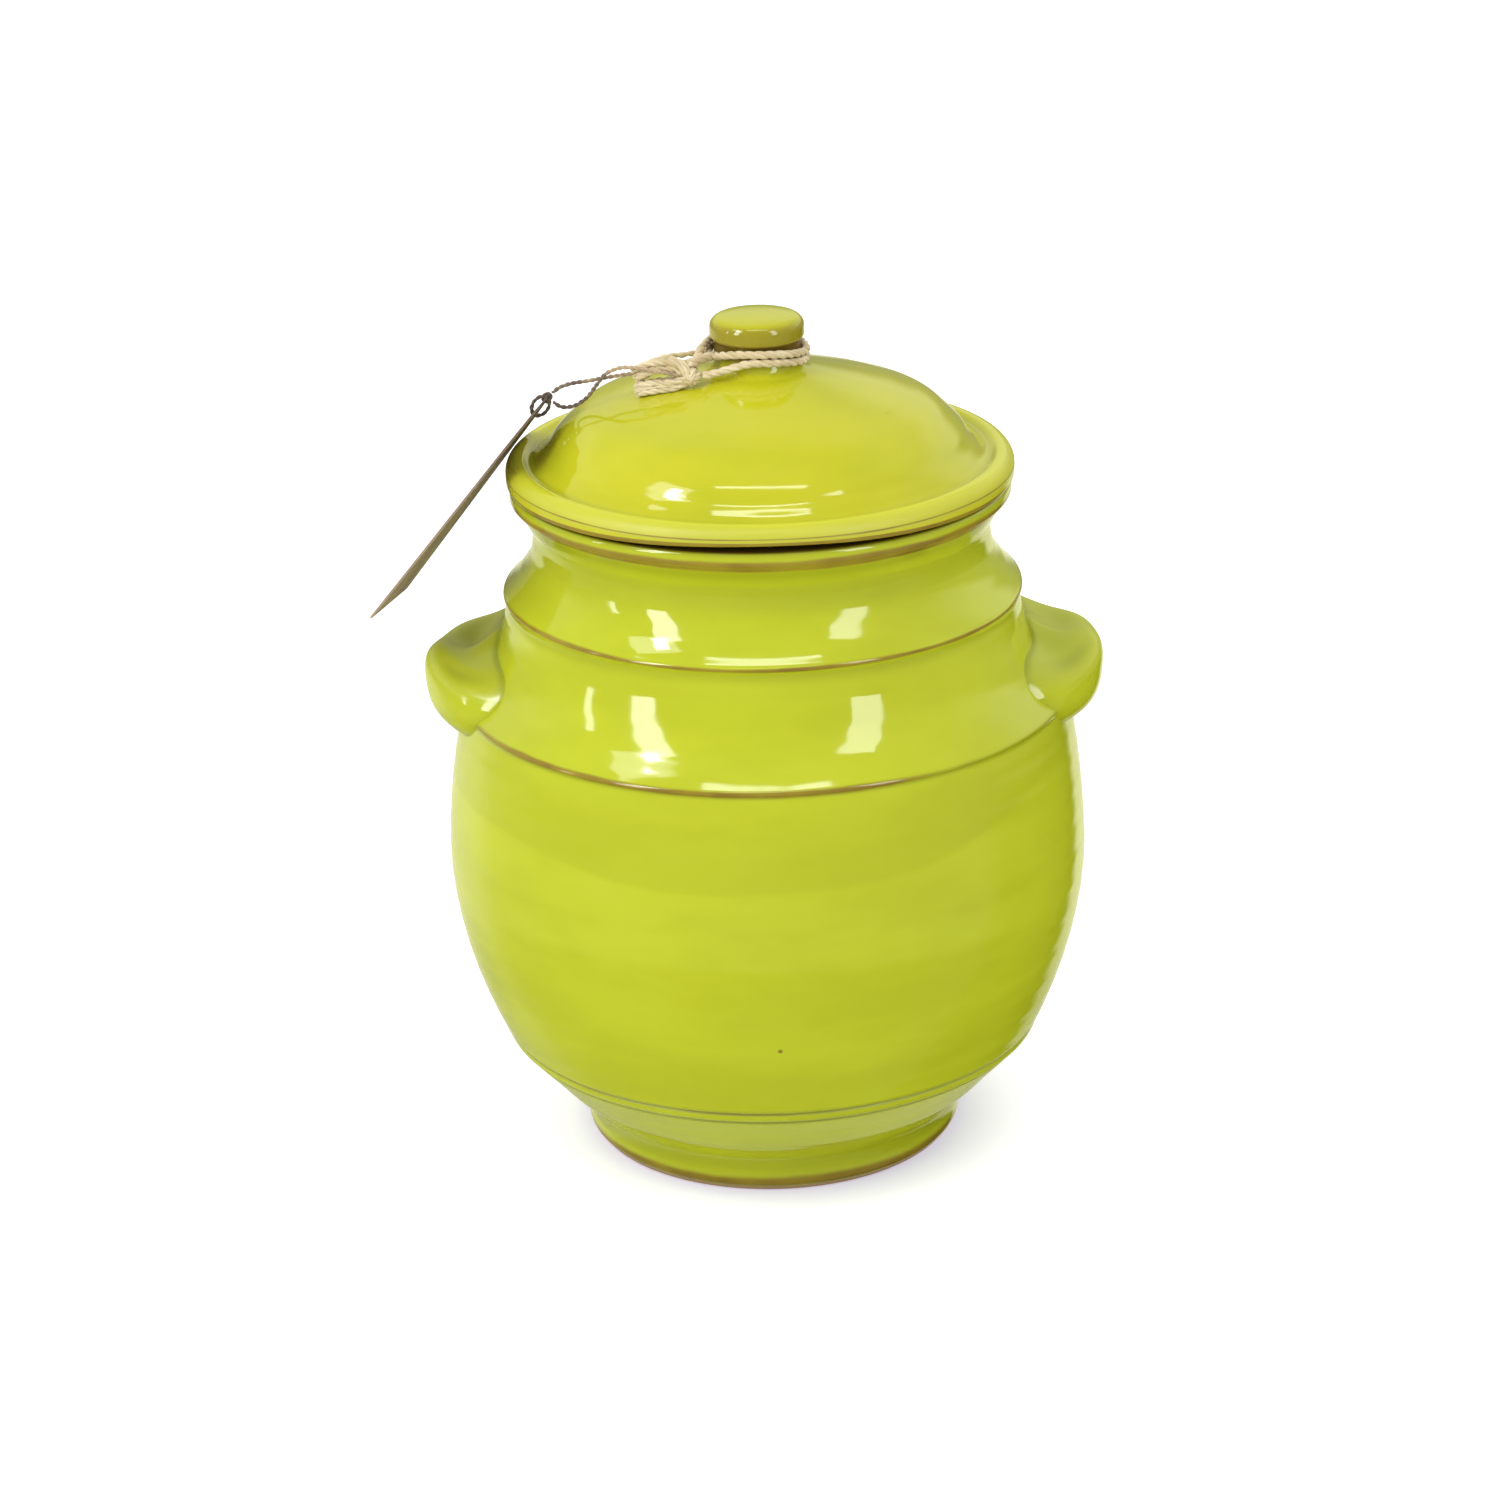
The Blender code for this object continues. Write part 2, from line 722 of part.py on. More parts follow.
def hole_mesh():
    """An upright cylinder where the hitch's ring comes through the card."""
    shape = bmesh.new()
    place = Matrix.Translation((2 * hitch_ring_radius, 0, 0))
    radius = tag_hole_diameter / 2
    bmesh.ops.create_cone(
        shape,
        cap_ends=True,
        segments=hole_sides,
        radius1=radius,
        radius2=radius,
        depth=cut_overrun,
        matrix=place,
    )
    mesh = bpy.data.meshes.new("tag_hole")
    shape.to_mesh(mesh)
    shape.free()
    return mesh


def ring_mesh():
    """The hitch's ring: a small circle spun round an axis across the tag."""
    shape = bmesh.new()
    bmesh.ops.create_circle(shape, segments=small_sides, radius=hitch_ring_thickness / 2)
    bmesh.ops.spin(
        shape,
        geom=shape.verts[:] + shape.edges[:],
        cent=(hitch_ring_radius, 0, 0),
        axis=(0, 1, 0),
        angle=2 * math.pi,
        steps=2 * small_sides,
        use_merge=True,
    )
    bmesh.ops.recalc_face_normals(shape, faces=shape.faces)
    mesh = bpy.data.meshes.new("tag_hitch")
    shape.to_mesh(mesh)
    shape.free()
    return mesh


def ball_outline(radius):
    points = arc((0, 0), radius, 90, -90, small_sides)
    points[0] = (0, radius)
    points[-1] = (0, -radius)
    return points


def main():
    for thing in list(bpy.data.objects):
        bpy.data.objects.remove(thing)
    green = finish("lime_glaze", (0.46, 0.50, 0.03), 0.12)
    olive = finish("olive_glaze", (0.38, 0.36, 0.03), 0.14)
    twine = finish("natural_twine", (0.66, 0.52, 0.31), 0.85)
    thread = finish("tag_thread", (0.42, 0.31, 0.17), 0.85)
    card = finish("kraft_card", (0.22, 0.16, 0.10), 0.75)
    jar_frame = empty("jar_frame", (0, 0, 0))
    lid_frame = empty("lid_frame", (0, 0, lid_seat))
    bpy.context.view_layer.update()
    stand_in_frame(make_jar(green), jar_frame)
    make_handles(green)
    stand_in_frame(make_lid(green), lid_frame)
    stand_in_frame(make_knob(olive), lid_frame)
    make_tie(twine, lid_frame)
    make_strings(thread, lid_frame)
    make_tag(card, thread)


main()
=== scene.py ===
"""The storage jar dressed for its picture: glazed clay, twine, string and tag, light and camera.

Metres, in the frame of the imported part: Z up, the foot's centre at the origin, the handles at -X and +X.
"""

import json
import math

import bpy
import numpy as np
from mathutils import Matrix, Vector


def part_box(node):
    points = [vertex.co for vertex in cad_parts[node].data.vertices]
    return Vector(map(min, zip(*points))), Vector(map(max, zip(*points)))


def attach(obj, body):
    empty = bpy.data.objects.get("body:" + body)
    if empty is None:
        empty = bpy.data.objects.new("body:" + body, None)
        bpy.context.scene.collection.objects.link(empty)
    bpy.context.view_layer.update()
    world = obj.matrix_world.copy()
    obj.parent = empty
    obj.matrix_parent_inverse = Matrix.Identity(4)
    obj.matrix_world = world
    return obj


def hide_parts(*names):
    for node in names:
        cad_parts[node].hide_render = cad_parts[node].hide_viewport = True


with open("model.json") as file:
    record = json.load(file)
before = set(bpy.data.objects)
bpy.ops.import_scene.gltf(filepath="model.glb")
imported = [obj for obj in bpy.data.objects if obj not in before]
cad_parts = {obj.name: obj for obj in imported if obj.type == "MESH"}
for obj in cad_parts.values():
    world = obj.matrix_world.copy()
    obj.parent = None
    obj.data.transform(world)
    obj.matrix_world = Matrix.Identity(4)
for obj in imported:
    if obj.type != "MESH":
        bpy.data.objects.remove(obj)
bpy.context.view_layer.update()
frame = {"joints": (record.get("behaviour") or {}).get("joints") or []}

# Camera, fitted to the photograph
camera_elevation = 21.23
camera_roll = -1.37
camera_distance = 1.344
camera_aim = Vector((-0.00524, 0, 0.12837))
camera_lens = 100
camera_sensor = 36
camera_near = 0.05
camera_far = 50

# Jar, radii and heights of the turned wall, as in the part
foot_radius = 0.0592
cone_radius = 0.0725
low_groove_radius = 0.0860
high_groove_radius = 0.0882
belly_radius = 0.10275
ridge_radius = 0.0970
collar_radius = 0.0823
neck_radius = 0.0722
lip_underside_radius = 0.0775
lip_radius = 0.0790
mouth_radius = 0.0700
foot_height = 0.0220
cone_top = 0.0370
belly_foot = 0.0409
belly_middle = 0.0980
ridge_middle = 0.1514
collar_middle = 0.1855
neck_middle = 0.2050
lip_underside = 0.2165
rim = 0.2214
wall = 0.0060
floor_height = 0.0115
floor_radius = 0.0520
foot_ring_width = 0.0090
foot_recess_depth = 0.0035
groove_depth = 0.0007
groove_width = 0.0014
ridge_round = 0.0011
collar_overhang = 0.0010
collar_undercut = 0.0025
lip_round = 0.0016
foot_round = 0.0008

# Unevenness that a hand leaves on the thrown wall: depths of its rings and of its waves
ring_depth = 0.00004
fine_ring_depth = 0.00002
wave_depth = 0.00012
ripple_depth = 0.00008

# Bands round the jar, each with its middle, width and strength: brown where the glaze is thin
upper_wear = (
    (collar_middle + 0.0001, 0.0008, 0.95),
    (lip_underside + 0.0011, 0.0009, 1.1),
    (lip_underside - 0.0009, 0.0009, 1.0),
)
foot_wear = ((0.0030, 0.0028, 1.05),)
ridge_wear = ((ridge_middle + 0.0001, 0.0011, 1.05),)
groove_wear = ((belly_foot - 0.0002, 0.0006, 0.45),)

# Where the ridge and the groove are most worn, in degrees from +X towards -Y
wear_bearing = 108

# The same for the bands where the glaze is thick and dark, which also carry painted shade in the hollows,
# most under the lip and on the lip's top beside the lid; and where it is dull
pooled_and_shaded = (
    (cone_top, 0.0007, 0.9),
    (belly_foot, 0.0007, 0.8),
    (collar_middle - 0.0030, 0.0016, 0.35),
    (0.0105, 0.0035, 0.25),
    (ridge_middle - 0.0004, 0.0010, 0.75),
    (neck_middle, 0.0050, 0.3),
    (lip_underside - 0.0030, 0.0024, 0.7),
)
# Painted shade that the lid casts on the lip's top
lid_shadow_on_lip = ((rim + 0.0004, 0.0020, 0.8),)
dull = ((cone_top, 0.0010, 1), (belly_foot, 0.0010, 1))

# Lid and knob, as in the part
lid_seat = 0.2217
flange_radius = 0.0799
flange_edge_height = 0.0035
flange_round = 0.0043
flange_underside_round = 0.0011
dome_top = 0.2553
lid_thickness = 0.0055
ring_outer = 0.0680
ring_inner = 0.0640
ring_foot = 0.2147
knob_foot_radius = 0.0190
knob_neck_radius = 0.0136
knob_cap_radius = 0.0148
neck_base = 0.2602
cap_base = 0.2657
knob_top = 0.2737
knob_crown = 0.0006
knob_top_round = 0.0034
knob_lower_round = 0.0018
knob_undercut = 70.5

# The gap that opens in front between the lip and the lid's edge, and the top of the edge's brown band
seat_rise = 0.0019
band_rise = 0.0017
band_front_rise = 0.0013

# The roll's start in degrees, and where the dome's foot meets it
roll_start = 106
valley_share = 0.71

# Handles: the root, reach and height are the part's, and the rim is rounder and lower in front
lug_root_radius = 0.0780
lug_reach = 0.0268
lug_rim_width = 0.0080
lug_height = 0.0260
lug_middle = 0.1560
lug_lean = 0.0025
lug_top_half_chord = 0.0225
lug_foot_half_chord = 0.0300
lug_round = 0.0100
lug_front_drop = 0.0050
lug_foot_lift = 0.0060
lug_turn = 104
left_dent_depth = 0.0046
right_dent_depth = 0.0022
crease_depth = 0.0008
skirt_height = 0.0030
skirt_reach = 0.0045
sunk_depth = 0.0022

# Twine, string and tag, as in the part
twine_diameter = 0.0022
twine_pitch = 0.0027
twine_clearance = 0.0006
twine_drop = 0.0002
twine_dip = 0.0022
knot_radius = 0.0030
front_leg_rise = 8
back_leg_rise = 42
seat_gap = 0.0003
string_diameter = 0.0014
hitch_place = Vector((-0.0660, 0, 0.2480))
hitch_radius = 0.0022
hitch_ring_radius = 0.0034
tag_length = 0.0825
tag_width = 0.0470
tag_thickness = 0.0007
tag_corner = 0.0100

# Width and lay of the twine's strands, lay of the string's plies, the tag's hole, its slight twist and how
# far the painted shade on it reaches from the string end
laid_twine = 0.0026
twine_lay = 0.0095
knot_lay = 0.0075
tail_lay = 0.0100
string_lay = 0.0042
hitch_lay = 0.0040
tail_spread = 0.0010
loose_fibres = 70
fibre_radius = 0.00026
fibre_tip_radius = 0.00016
tag_hole_radius = 0.0021
tag_twist = 0.0012
tag_shade_length = 0.045

# Shares of each stretch's change of radius and of height, as in the part but for a straighter lower neck
foot_shares = ((0, 0), (0.12, 0.08), (0.17, 0.36), (0.29, 0.55), (0.55, 0.73), (1, 1))
cone_shares = ((0, 0), (0.52, 0.53), (1, 1))
shoulder_shares = ((0, 0), (0.2, 0.1), (0.62, 0.37), (0.92, 0.78), (1, 1))
lower_neck_shares = ((0, 0), (0.24, 0.13), (0.55, 0.33), (0.79, 0.52), (0.93, 0.69), (1, 1))
upper_neck_shares = ((0, 0), (0.09, 0.26), (0.53, 0.61), (1, 1))
dome_shares = (
    (0, 0), (0.285, 0.15), (0.52, 0.29), (0.68, 0.42),
    (0.77, 0.57), (0.84, 0.71), (0.9, 0.86), (1, 1),
)
knob_flare_shares = ((0, 0), (0.12, 0.45), (0.42, 0.78), (1, 1))
belly_fullness = 1.78
lug_top_squareness = 0.62
lug_foot_squareness = 0.85
climb_start_share = 0.25
climb_length_share = 0.65

# Routes of the tag's two strings, as in the part
upper_string_route = (
    (-0.0256, -0.0104, 0.2588), (-0.0312, -0.0086, 0.2586), (-0.0368, -0.0076, 0.2576),
    (-0.0425, -0.0066, 0.2566), (-0.0482, -0.0046, 0.2552), (-0.0535, -0.0032, 0.2539),
    (-0.0585, -0.0018, 0.2528), (-0.0625, -0.0006, 0.2510),
)
lower_string_route = (
    (-0.0270, -0.0146, 0.2589), (-0.0320, -0.0138, 0.2597), (-0.0372, -0.0122, 0.2603),
    (-0.0430, -0.0100, 0.2598), (-0.0472, -0.0086, 0.2576), (-0.0502, -0.0070, 0.2536),
    (-0.0536, -0.0052, 0.2490), (-0.0580, -0.0034, 0.2460), (-0.0622, -0.0014, 0.2456),
)

# Routes of the two cut tails of the twine from the knot's centre, a little lower than in the part
upper_tail_route = (
    (-0.0046, 0.0012, 0.0034), (-0.0098, 0.0030, 0.0032),
    (-0.0140, 0.0044, 0.0016), (-0.0178, 0.0054, -0.0006),
)
lower_tail_route = ((-0.0062, 0.0016, -0.0026), (-0.0112, 0.0034, -0.0036), (-0.0172, 0.0052, -0.0050))

# The knot's own turns of twine, each with its tilt and lean in degrees and its radius
knot_turns = ((12, 0, 0.0021), (62, 25, 0.0020), (-48, -20, 0.0019), (90, 70, 0.0018))

# Routes of two turns of the twine beside the knot: one behind it, one that closes the loop to the knob
rear_turn_route = (
    (-0.0128, 0.0085, 0.2622), (-0.0176, 0.0060, 0.2600), (-0.0228, 0.0030, 0.2600),
    (-0.0290, -0.0010, 0.2603), (-0.0356, -0.0050, 0.2592),
)
near_turn_route = (
    (-0.0215, -0.0135, 0.2618), (-0.0180, -0.0110, 0.2622),
    (-0.0152, -0.0080, 0.2622), (-0.0132, -0.0052, 0.2618),
)

# Colours, linear
lime = (0.534, 0.588, 0.020)
warm_lime = (0.584, 0.574, 0.018)
# Painted light on the crest of the lid's roll
crest_light_lime = (0.72, 0.74, 0.050)
deep_lime = (0.440, 0.480, 0.012)
# The knob's glaze, also used as painted shade in the handles' dents
olive_and_shade = (0.34, 0.29, 0.014)
ochre = (0.35, 0.265, 0.020)
thin_brown = (0.24, 0.155, 0.016)
# Where the lid sits, also used as painted shade in the gap and under the knob's cap
seat_and_shade_brown = (0.12, 0.075, 0.010)
clay = (0.52, 0.30, 0.14)
straw = (0.88, 0.77, 0.52)
dark_straw = (0.60, 0.47, 0.25)
thread_brown = (0.56, 0.42, 0.25)
card_brown = (0.29, 0.205, 0.155)
card_dark = (0.10, 0.07, 0.05)
white = (1.0, 1.0, 1.0)
# The floor's glow round the foot, dimmed and bluer as a painted shadow
dimmed_floor_glow = (0.26, 0.26, 0.37)
far_floor = (0.52, 0.52, 0.56)

# Glaze: scales of its patterns, radius and core of a speck, roughness and refraction
slow_scale = 13
ragged_scale = 45
brown_scale = 70
speck_scale = 55
rare_scale = 23
gloss_scale = 60
ripple_scale = 95
speck_radius = 0.065
speck_core = 0.03
glaze_roughness = (0.05, 0.10)
clay_roughness = 0.7
dull_roughness = 0.5
glaze_ior = 1.75

# Twine and card: scales of their patterns
streak_scale = 900
patch_scale = 130
mottle_scale = 70
fleck_scale = 1400
paper_scale = 1100

# Brightness of the room in the glaze by bearing in degrees: the table, the walls, and above them
low_stops = (
    (-180, 0.70), (-130, 0.70), (-115, 0.38), (-90, 0.28), (80, 0.26),
    (92, 0.06), (143, 0.01), (150, 0.80), (180, 0.70),
)
wall_stops = (
    (-180, 0.60), (-156, 0.55), (-140, 0.62), (-112, 0.55), (-92, 0.36), (-70, 0.22),
    (0, 0.20), (80, 0.30), (118, 0.85), (150, 0.80), (180, 0.60),
)
high_stops = ((-180, 0.50), (-120, 0.36), (-80, 0.24), (0, 0.20), (80, 0.30), (120, 0.50), (180, 0.42))
horizon_grey = (0.24, 0.24, 0.24)
ceiling_grey = (0.26, 0.26, 0.26)
room_tint = (1.30, 1.30, 0.88)

# Rise of a direction, as a sine, over which each layer of the room takes over from the one below
under_table_rise = (-0.38, -0.56)
horizon_rise = (-0.24, -0.10)
wall_rise = (0.08, 0.24)
high_rise = (0.42, 0.58)
ceiling_rise = (0.75, 0.92)
soft_rise = (0.10, 0.45)

# Brightness of the soft light that falls on the jar, by bearing: low, and from above
low_soft_stops = (
    (-180, 0.65), (-110, 0.90), (-50, 0.46), (0, 0.32),
    (50, 0.14), (110, 0.04), (150, 0.45), (180, 0.65),
)
high_soft_stops = ((-180, 0.75), (-100, 1.05), (-60, 0.90), (0, 0.56), (60, 0.85), (100, 1.05), (180, 0.75))

# Lamps: name, bearing and rise in degrees, distance, width, height and strength
lamp_middle = 0.17
lamps = (
    ("softbox_left", -51, 26, 1.6, 0.31, 1.20, 5.8),
    ("softbox_strip", -77, 14, 1.6, 0.10, 0.60, 4.5),
    ("softbox_right", 43, 26, 1.6, 0.37, 1.20, 3.8),
    ("softbox_high_left", -62, 48, 1.6, 0.52, 0.36, 2.4),
    ("softbox_high_spot", -57, 47, 1.55, 0.16, 0.20, 12.0),
    ("softbox_top", 0, 67, 1.5, 0.90, 0.10, 5.0),
)

# Floor: half its side, how far it lies under the foot, and the span round the foot over which its glow
# comes back from a painted shadow to full
floor_half = 6.0
floor_drop = 0.0002
shadow_start = 0.056
shadow_end = 0.095

# Counts and angles
jar_sides = 288
lug_rings = 145
full_turn = 2 * math.pi


# Curves and outlines

def arc(centre, radius, start, end, steps):
    """Points round part of a circle in the plane of radius and height, between two angles in degrees."""
    angles = np.radians(np.linspace(start, end, steps + 1))
    return [(centre[0] + radius * math.cos(a), centre[1] + radius * math.sin(a)) for a in angles]


def spread(start, end, shares):
    """Points between start and end, at shares of the change of radius and of the change of height."""
    run = end[0] - start[0]
    rise = end[1] - start[1]
    return [(start[0] + across * run, start[1] + up * rise) for across, up in shares]


def places_along(points):
    """How far along its route each point lies."""
    return np.concatenate([[0], np.cumsum(np.linalg.norm(np.diff(points, axis=0), axis=1))])


def smooth(points, steps):
    """A smooth curve through points of any dimension, with the same number of steps in each span."""
    points = np.array(points, dtype=float)
    places = places_along(points)
    slopes = np.gradient(points, places, axis=0)
    made = []
    for i, span in enumerate(np.diff(places)):
        for t in np.arange(steps) / steps:
            near = (1 + 2 * t) * (1 - t) ** 2 * points[i] + t * (1 - t) ** 2 * span * slopes[i]
            far = t * t * (3 - 2 * t) * points[i + 1] + t * t * (t - 1) * span * slopes[i + 1]
            made.append(tuple(near + far))
    return made + [tuple(points[-1])]


def evenly(points, spacing):
    """The same route with points about one spacing apart."""
    points = np.array(points, dtype=float)
    places = places_along(points)
    wanted = np.linspace(0, places[-1], max(2, round(places[-1] / spacing) + 1))
    return np.stack([np.interp(wanted, places, points[:, axis]) for axis in range(3)], axis=1)


def eased(value):
    """A smooth step from 0 to 1."""
    value = np.clip(value, 0, 1)
    return value * value * (3 - 2 * value)


# Meshes

def linked(name, data):
    made = bpy.data.objects.new(name, data)
    bpy.context.collection.objects.link(made)
    return made


def mesh_piece(name, points, faces, material, attributes):
    """A smooth-shaded piece of mesh, with named values stored on its points for its material."""
    mesh = bpy.data.meshes.new(name)
    mesh.from_pydata(np.asarray(points).tolist(), [], faces)
    for key, values in attributes.items():
        layer = mesh.attributes.new(key, "FLOAT", "POINT")
        layer.data.foreach_set("value", np.asarray(values, dtype=np.float32))
    mesh.shade_smooth()
    mesh.validate()
    mesh.materials.append(material)
    return linked(name, mesh)


def turned_points(outline, sides, unevenness):
    """Points and faces of a solid of revolution, whose outline runs from the axis to the axis."""
    outline = np.array(outline, dtype=float)
    inner = outline[1:-1]
    turn = np.arange(sides)[None] * full_turn / sides + 0 * inner[:, :1]
    radius = inner[:, :1] + 0 * turn
    height = inner[:, 1:] + 0 * turn
    radius = radius + unevenness(radius, height, turn, np.arange(len(inner))[:, None])
    rings = np.stack([radius * np.cos(turn), radius * np.sin(turn), height], axis=2).reshape(-1, 3)
    points = np.concatenate([rings, [(0, 0, outline[0, 1]), (0, 0, outline[-1, 1])]])
    first, last = len(points) - 2, len(points) - 1
    faces = []
    for ring in range(len(inner) - 1):
        low = ring * sides
        for i in range(sides):
            j = (i + 1) % sides
            faces.append((low + i, low + sides + i, low + sides + j, low + j))
    bottom = (len(inner) - 1) * sides
    for i in range(sides):
        j = (i + 1) % sides
        faces.append((first, i, j))
        faces.append((last, bottom + j, bottom + i))
    return points, faces


def strip_faces(first, rings, sides):
    """Faces between closed rings of points that lie one after another."""
    faces = []
    for ring in range(rings - 1):
        low = first + ring * sides
        for i in range(sides):
            j = (i + 1) % sides
            faces.append((low + i, low + j, low + sides + j, low + sides + i))
    faces.append(tuple(range(first, first + sides))[::-1])
    end = first + (rings - 1) * sides
    faces.append(tuple(range(end, end + sides)))
    return faces


def carried_frames(points):
    """Two directions square to a route at each of its points, carried along it without twisting."""
    points = np.array(points)
    along = np.gradient(points, axis=0)
    along /= np.linalg.norm(along, axis=1)[:, None]
    side = np.cross(along[0], (0, 0, 1))
    if np.linalg.norm(side) < 0.1:
        side = np.cross(along[0], (0, 1, 0))
    sides = []
    for direction in along:
        side = side - direction * (side @ direction)
        side = side / np.linalg.norm(side)
        sides.append(side)
    sides = np.array(sides)
    return sides, np.cross(along, sides)


def beside(route, distance, turn):
    """A route that runs beside another, at a distance and round to a turn that may change along it."""
    across, up = carried_frames(route)
    return route + across * (distance * np.cos(turn))[:, None] + up * (distance * np.sin(turn))[:, None]


class Strands:
    """Collects round tubes into one mesh."""

    def __init__(self):
        self.points = []
        self.faces = []
        self.shade = []

    def add(self, route, radii, sides=8, shade=0.5):
        """One tube along a route, with its own radius at each point and a flat cap at each end."""
        route = np.array(route, dtype=float)
        across, up = carried_frames(route)
        radii = np.broadcast_to(np.asarray(radii, dtype=float), (len(route),))
        first = len(self.points)
        for place, a, b, radius in zip(route, across, up, radii):
            for step in range(sides):
                turn = full_turn * step / sides
                self.points.append(place + (a * math.cos(turn) + b * math.sin(turn)) * radius)
        self.faces += strip_faces(first, len(route), sides)
        self.shade += [shade] * (len(route) * sides)

    def piece(self, name, material):
        return mesh_piece(name, self.points, self.faces, material, {"shade": self.shade})


def plied(strands, route, diameter, plies, lay_length, sides=8):
    """A laid cord: plies that wind round one another along the route."""
    route = evenly(route, diameter / 4)
    places = places_along(route)
    ply_radius = diameter * (0.29 if plies == 2 else 0.265)
    offset = diameter / 2 - ply_radius
    for ply in range(plies):
        turn = full_turn * (ply / plies + places / lay_length)
        line = beside(route, offset, turn)
        swell = 1 + 0.06 * np.sin(places / diameter * 2.3 + ply)
        strands.add(line, ply_radius * swell, sides, 0.3 + 0.4 * ply / (plies - 1))


# Materials

def new_material(name):
    material = bpy.data.materials.new(name)
    material.use_nodes = True
    return material, material.node_tree, material.node_tree.nodes["Principled BSDF"]


def feed(tree, node, inputs):
    """Gives a node its inputs, each a plain value or another node's output."""
    for key, value in inputs.items():
        if isinstance(value, bpy.types.NodeSocket):
            tree.links.new(value, node.inputs[key])
        else:
            node.inputs[key].default_value = value


def add_node(tree, kind, inputs, **settings):
    made = tree.nodes.new(kind)
    for key, value in settings.items():
        setattr(made, key, value)
    feed(tree, made, inputs)
    return made


def coordinates(tree, kind):
    return add_node(tree, "ShaderNodeTexCoord", {}).outputs[kind]


def noise(tree, scale, detail=2.0, roughness=0.5, stretch=(1, 1, 1)):
    """Noise in the object's own coordinates, stretched along an axis if asked."""
    place = add_node(tree, "ShaderNodeMapping", {"Vector": coordinates(tree, "Object"), "Scale": stretch})
    inputs = {"Vector": place.outputs["Vector"], "Scale": scale, "Detail": detail, "Roughness": roughness}
    return add_node(tree, "ShaderNodeTexNoise", inputs).outputs["Fac"]


def mapped(tree, value, low, high, to_low=0.0, to_high=1.0, kind="SMOOTHSTEP"):
    """A value's range moved to another range and held at its ends."""
    inputs = {"Value": value, "From Min": low, "From Max": high, "To Min": to_low, "To Max": to_high}
    return add_node(tree, "ShaderNodeMapRange", inputs, interpolation_type=kind).outputs["Result"]


def arithmetic(tree, operation, first, second):
    return add_node(tree, "ShaderNodeMath", {0: first, 1: second}, operation=operation).outputs["Value"]


def times(tree, first, second):
    return arithmetic(tree, "MULTIPLY", first, second)


def mixed(tree, factor, first, second):
    """A colour between two colours, each a tuple or another node's output."""
    first, second = [(*colour, 1) if isinstance(colour, tuple) else colour for colour in (first, second)]
    inputs = {"Factor": factor, 6: first, 7: second}
    return add_node(tree, "ShaderNodeMix", inputs, data_type="RGBA").outputs[2]


def stored(tree, name):
    return add_node(tree, "ShaderNodeAttribute", {}, attribute_name=name).outputs["Fac"]


def bumped(tree, height, strength, distance):
    inputs = {"Height": height, "Strength": strength, "Distance": distance}
    return add_node(tree, "ShaderNodeBump", inputs).outputs["Normal"]


def glaze(name, body_colour, deep_colour):
    """Glossy glaze: slowly varying, darker where it pools and with painted shade in hollows and under
    overhangs, with painted light on the lid's crest, brown on edges, with a few specks.
    """
    material, tree, shader = new_material(name)
    slow = mapped(tree, noise(tree, slow_scale, 3, 0.6, (1, 1, 3)), 0.36, 0.66)
    body = mixed(tree, stored(tree, "warm"), body_colour, warm_lime)
    colour = mixed(tree, times(tree, slow, 0.5), body, deep_colour)
    # A second dip of glaze on the belly, and painted shade in the handles' dents
    colour = mixed(tree, times(tree, stored(tree, "pour_and_shade"), 0.55), colour, deep_colour)
    darkest = tuple(0.55 * part for part in deep_colour)
    # Darker where the glaze pools, with painted shade in hollows, under the lip and beside the lid
    colour = mixed(tree, times(tree, stored(tree, "pool_and_shade"), 0.75), colour, darkest)
    # Painted light: a paler band along the lid's roll
    colour = mixed(tree, stored(tree, "crest_light"), colour, crest_light_lime)
    # Olive glaze on the knob, and painted shade in the handles' dents
    colour = mixed(tree, stored(tree, "olive_and_shade"), colour, olive_and_shade)
    ragged = mapped(tree, noise(tree, ragged_scale, 2, 0.5, (1, 1, 2)), 0.3, 0.7, -0.10, 0.10)
    broken = mapped(tree, arithmetic(tree, "ADD", stored(tree, "wear"), ragged), 0.25, 0.85)
    brown = mixed(tree, mapped(tree, noise(tree, brown_scale, 3), 0.2, 0.8), thin_brown, ochre)
    colour = mixed(tree, broken, colour, brown)
    # Dark brown where the lid sits, deepened as painted shade in the gap, and painted shade under the
    # knob's cap
    colour = mixed(tree, stored(tree, "seat_and_shade"), colour, seat_and_shade_brown)
    bare = mapped(tree, arithmetic(tree, "ADD", stored(tree, "bare"), ragged), 0.4, 0.6)
    colour = mixed(tree, bare, colour, clay)
    spots = {"Vector": coordinates(tree, "Object"), "Scale": speck_scale}
    distance = add_node(tree, "ShaderNodeTexVoronoi", spots).outputs["Distance"]
    rare = mapped(tree, noise(tree, rare_scale, 0), 0.71, 0.76)
    speck = times(tree, mapped(tree, distance, speck_radius, speck_core), rare)
    gloss = mapped(tree, noise(tree, gloss_scale, 3), 0.3, 0.7, *glaze_roughness)
    rough = arithmetic(tree, "MAXIMUM", gloss, times(tree, bare, clay_roughness))
    dull_patch = times(tree, stored(tree, "matt"), dull_roughness)
    inputs = {
        "Base Color": mixed(tree, speck, colour, thin_brown),
        "Roughness": arithmetic(tree, "MAXIMUM", rough, dull_patch),
        "IOR": glaze_ior,
        "Normal": bumped(tree, noise(tree, ripple_scale, 2, 0.4), 0.10, 0.0006),
    }
    feed(tree, shader, inputs)
    return material


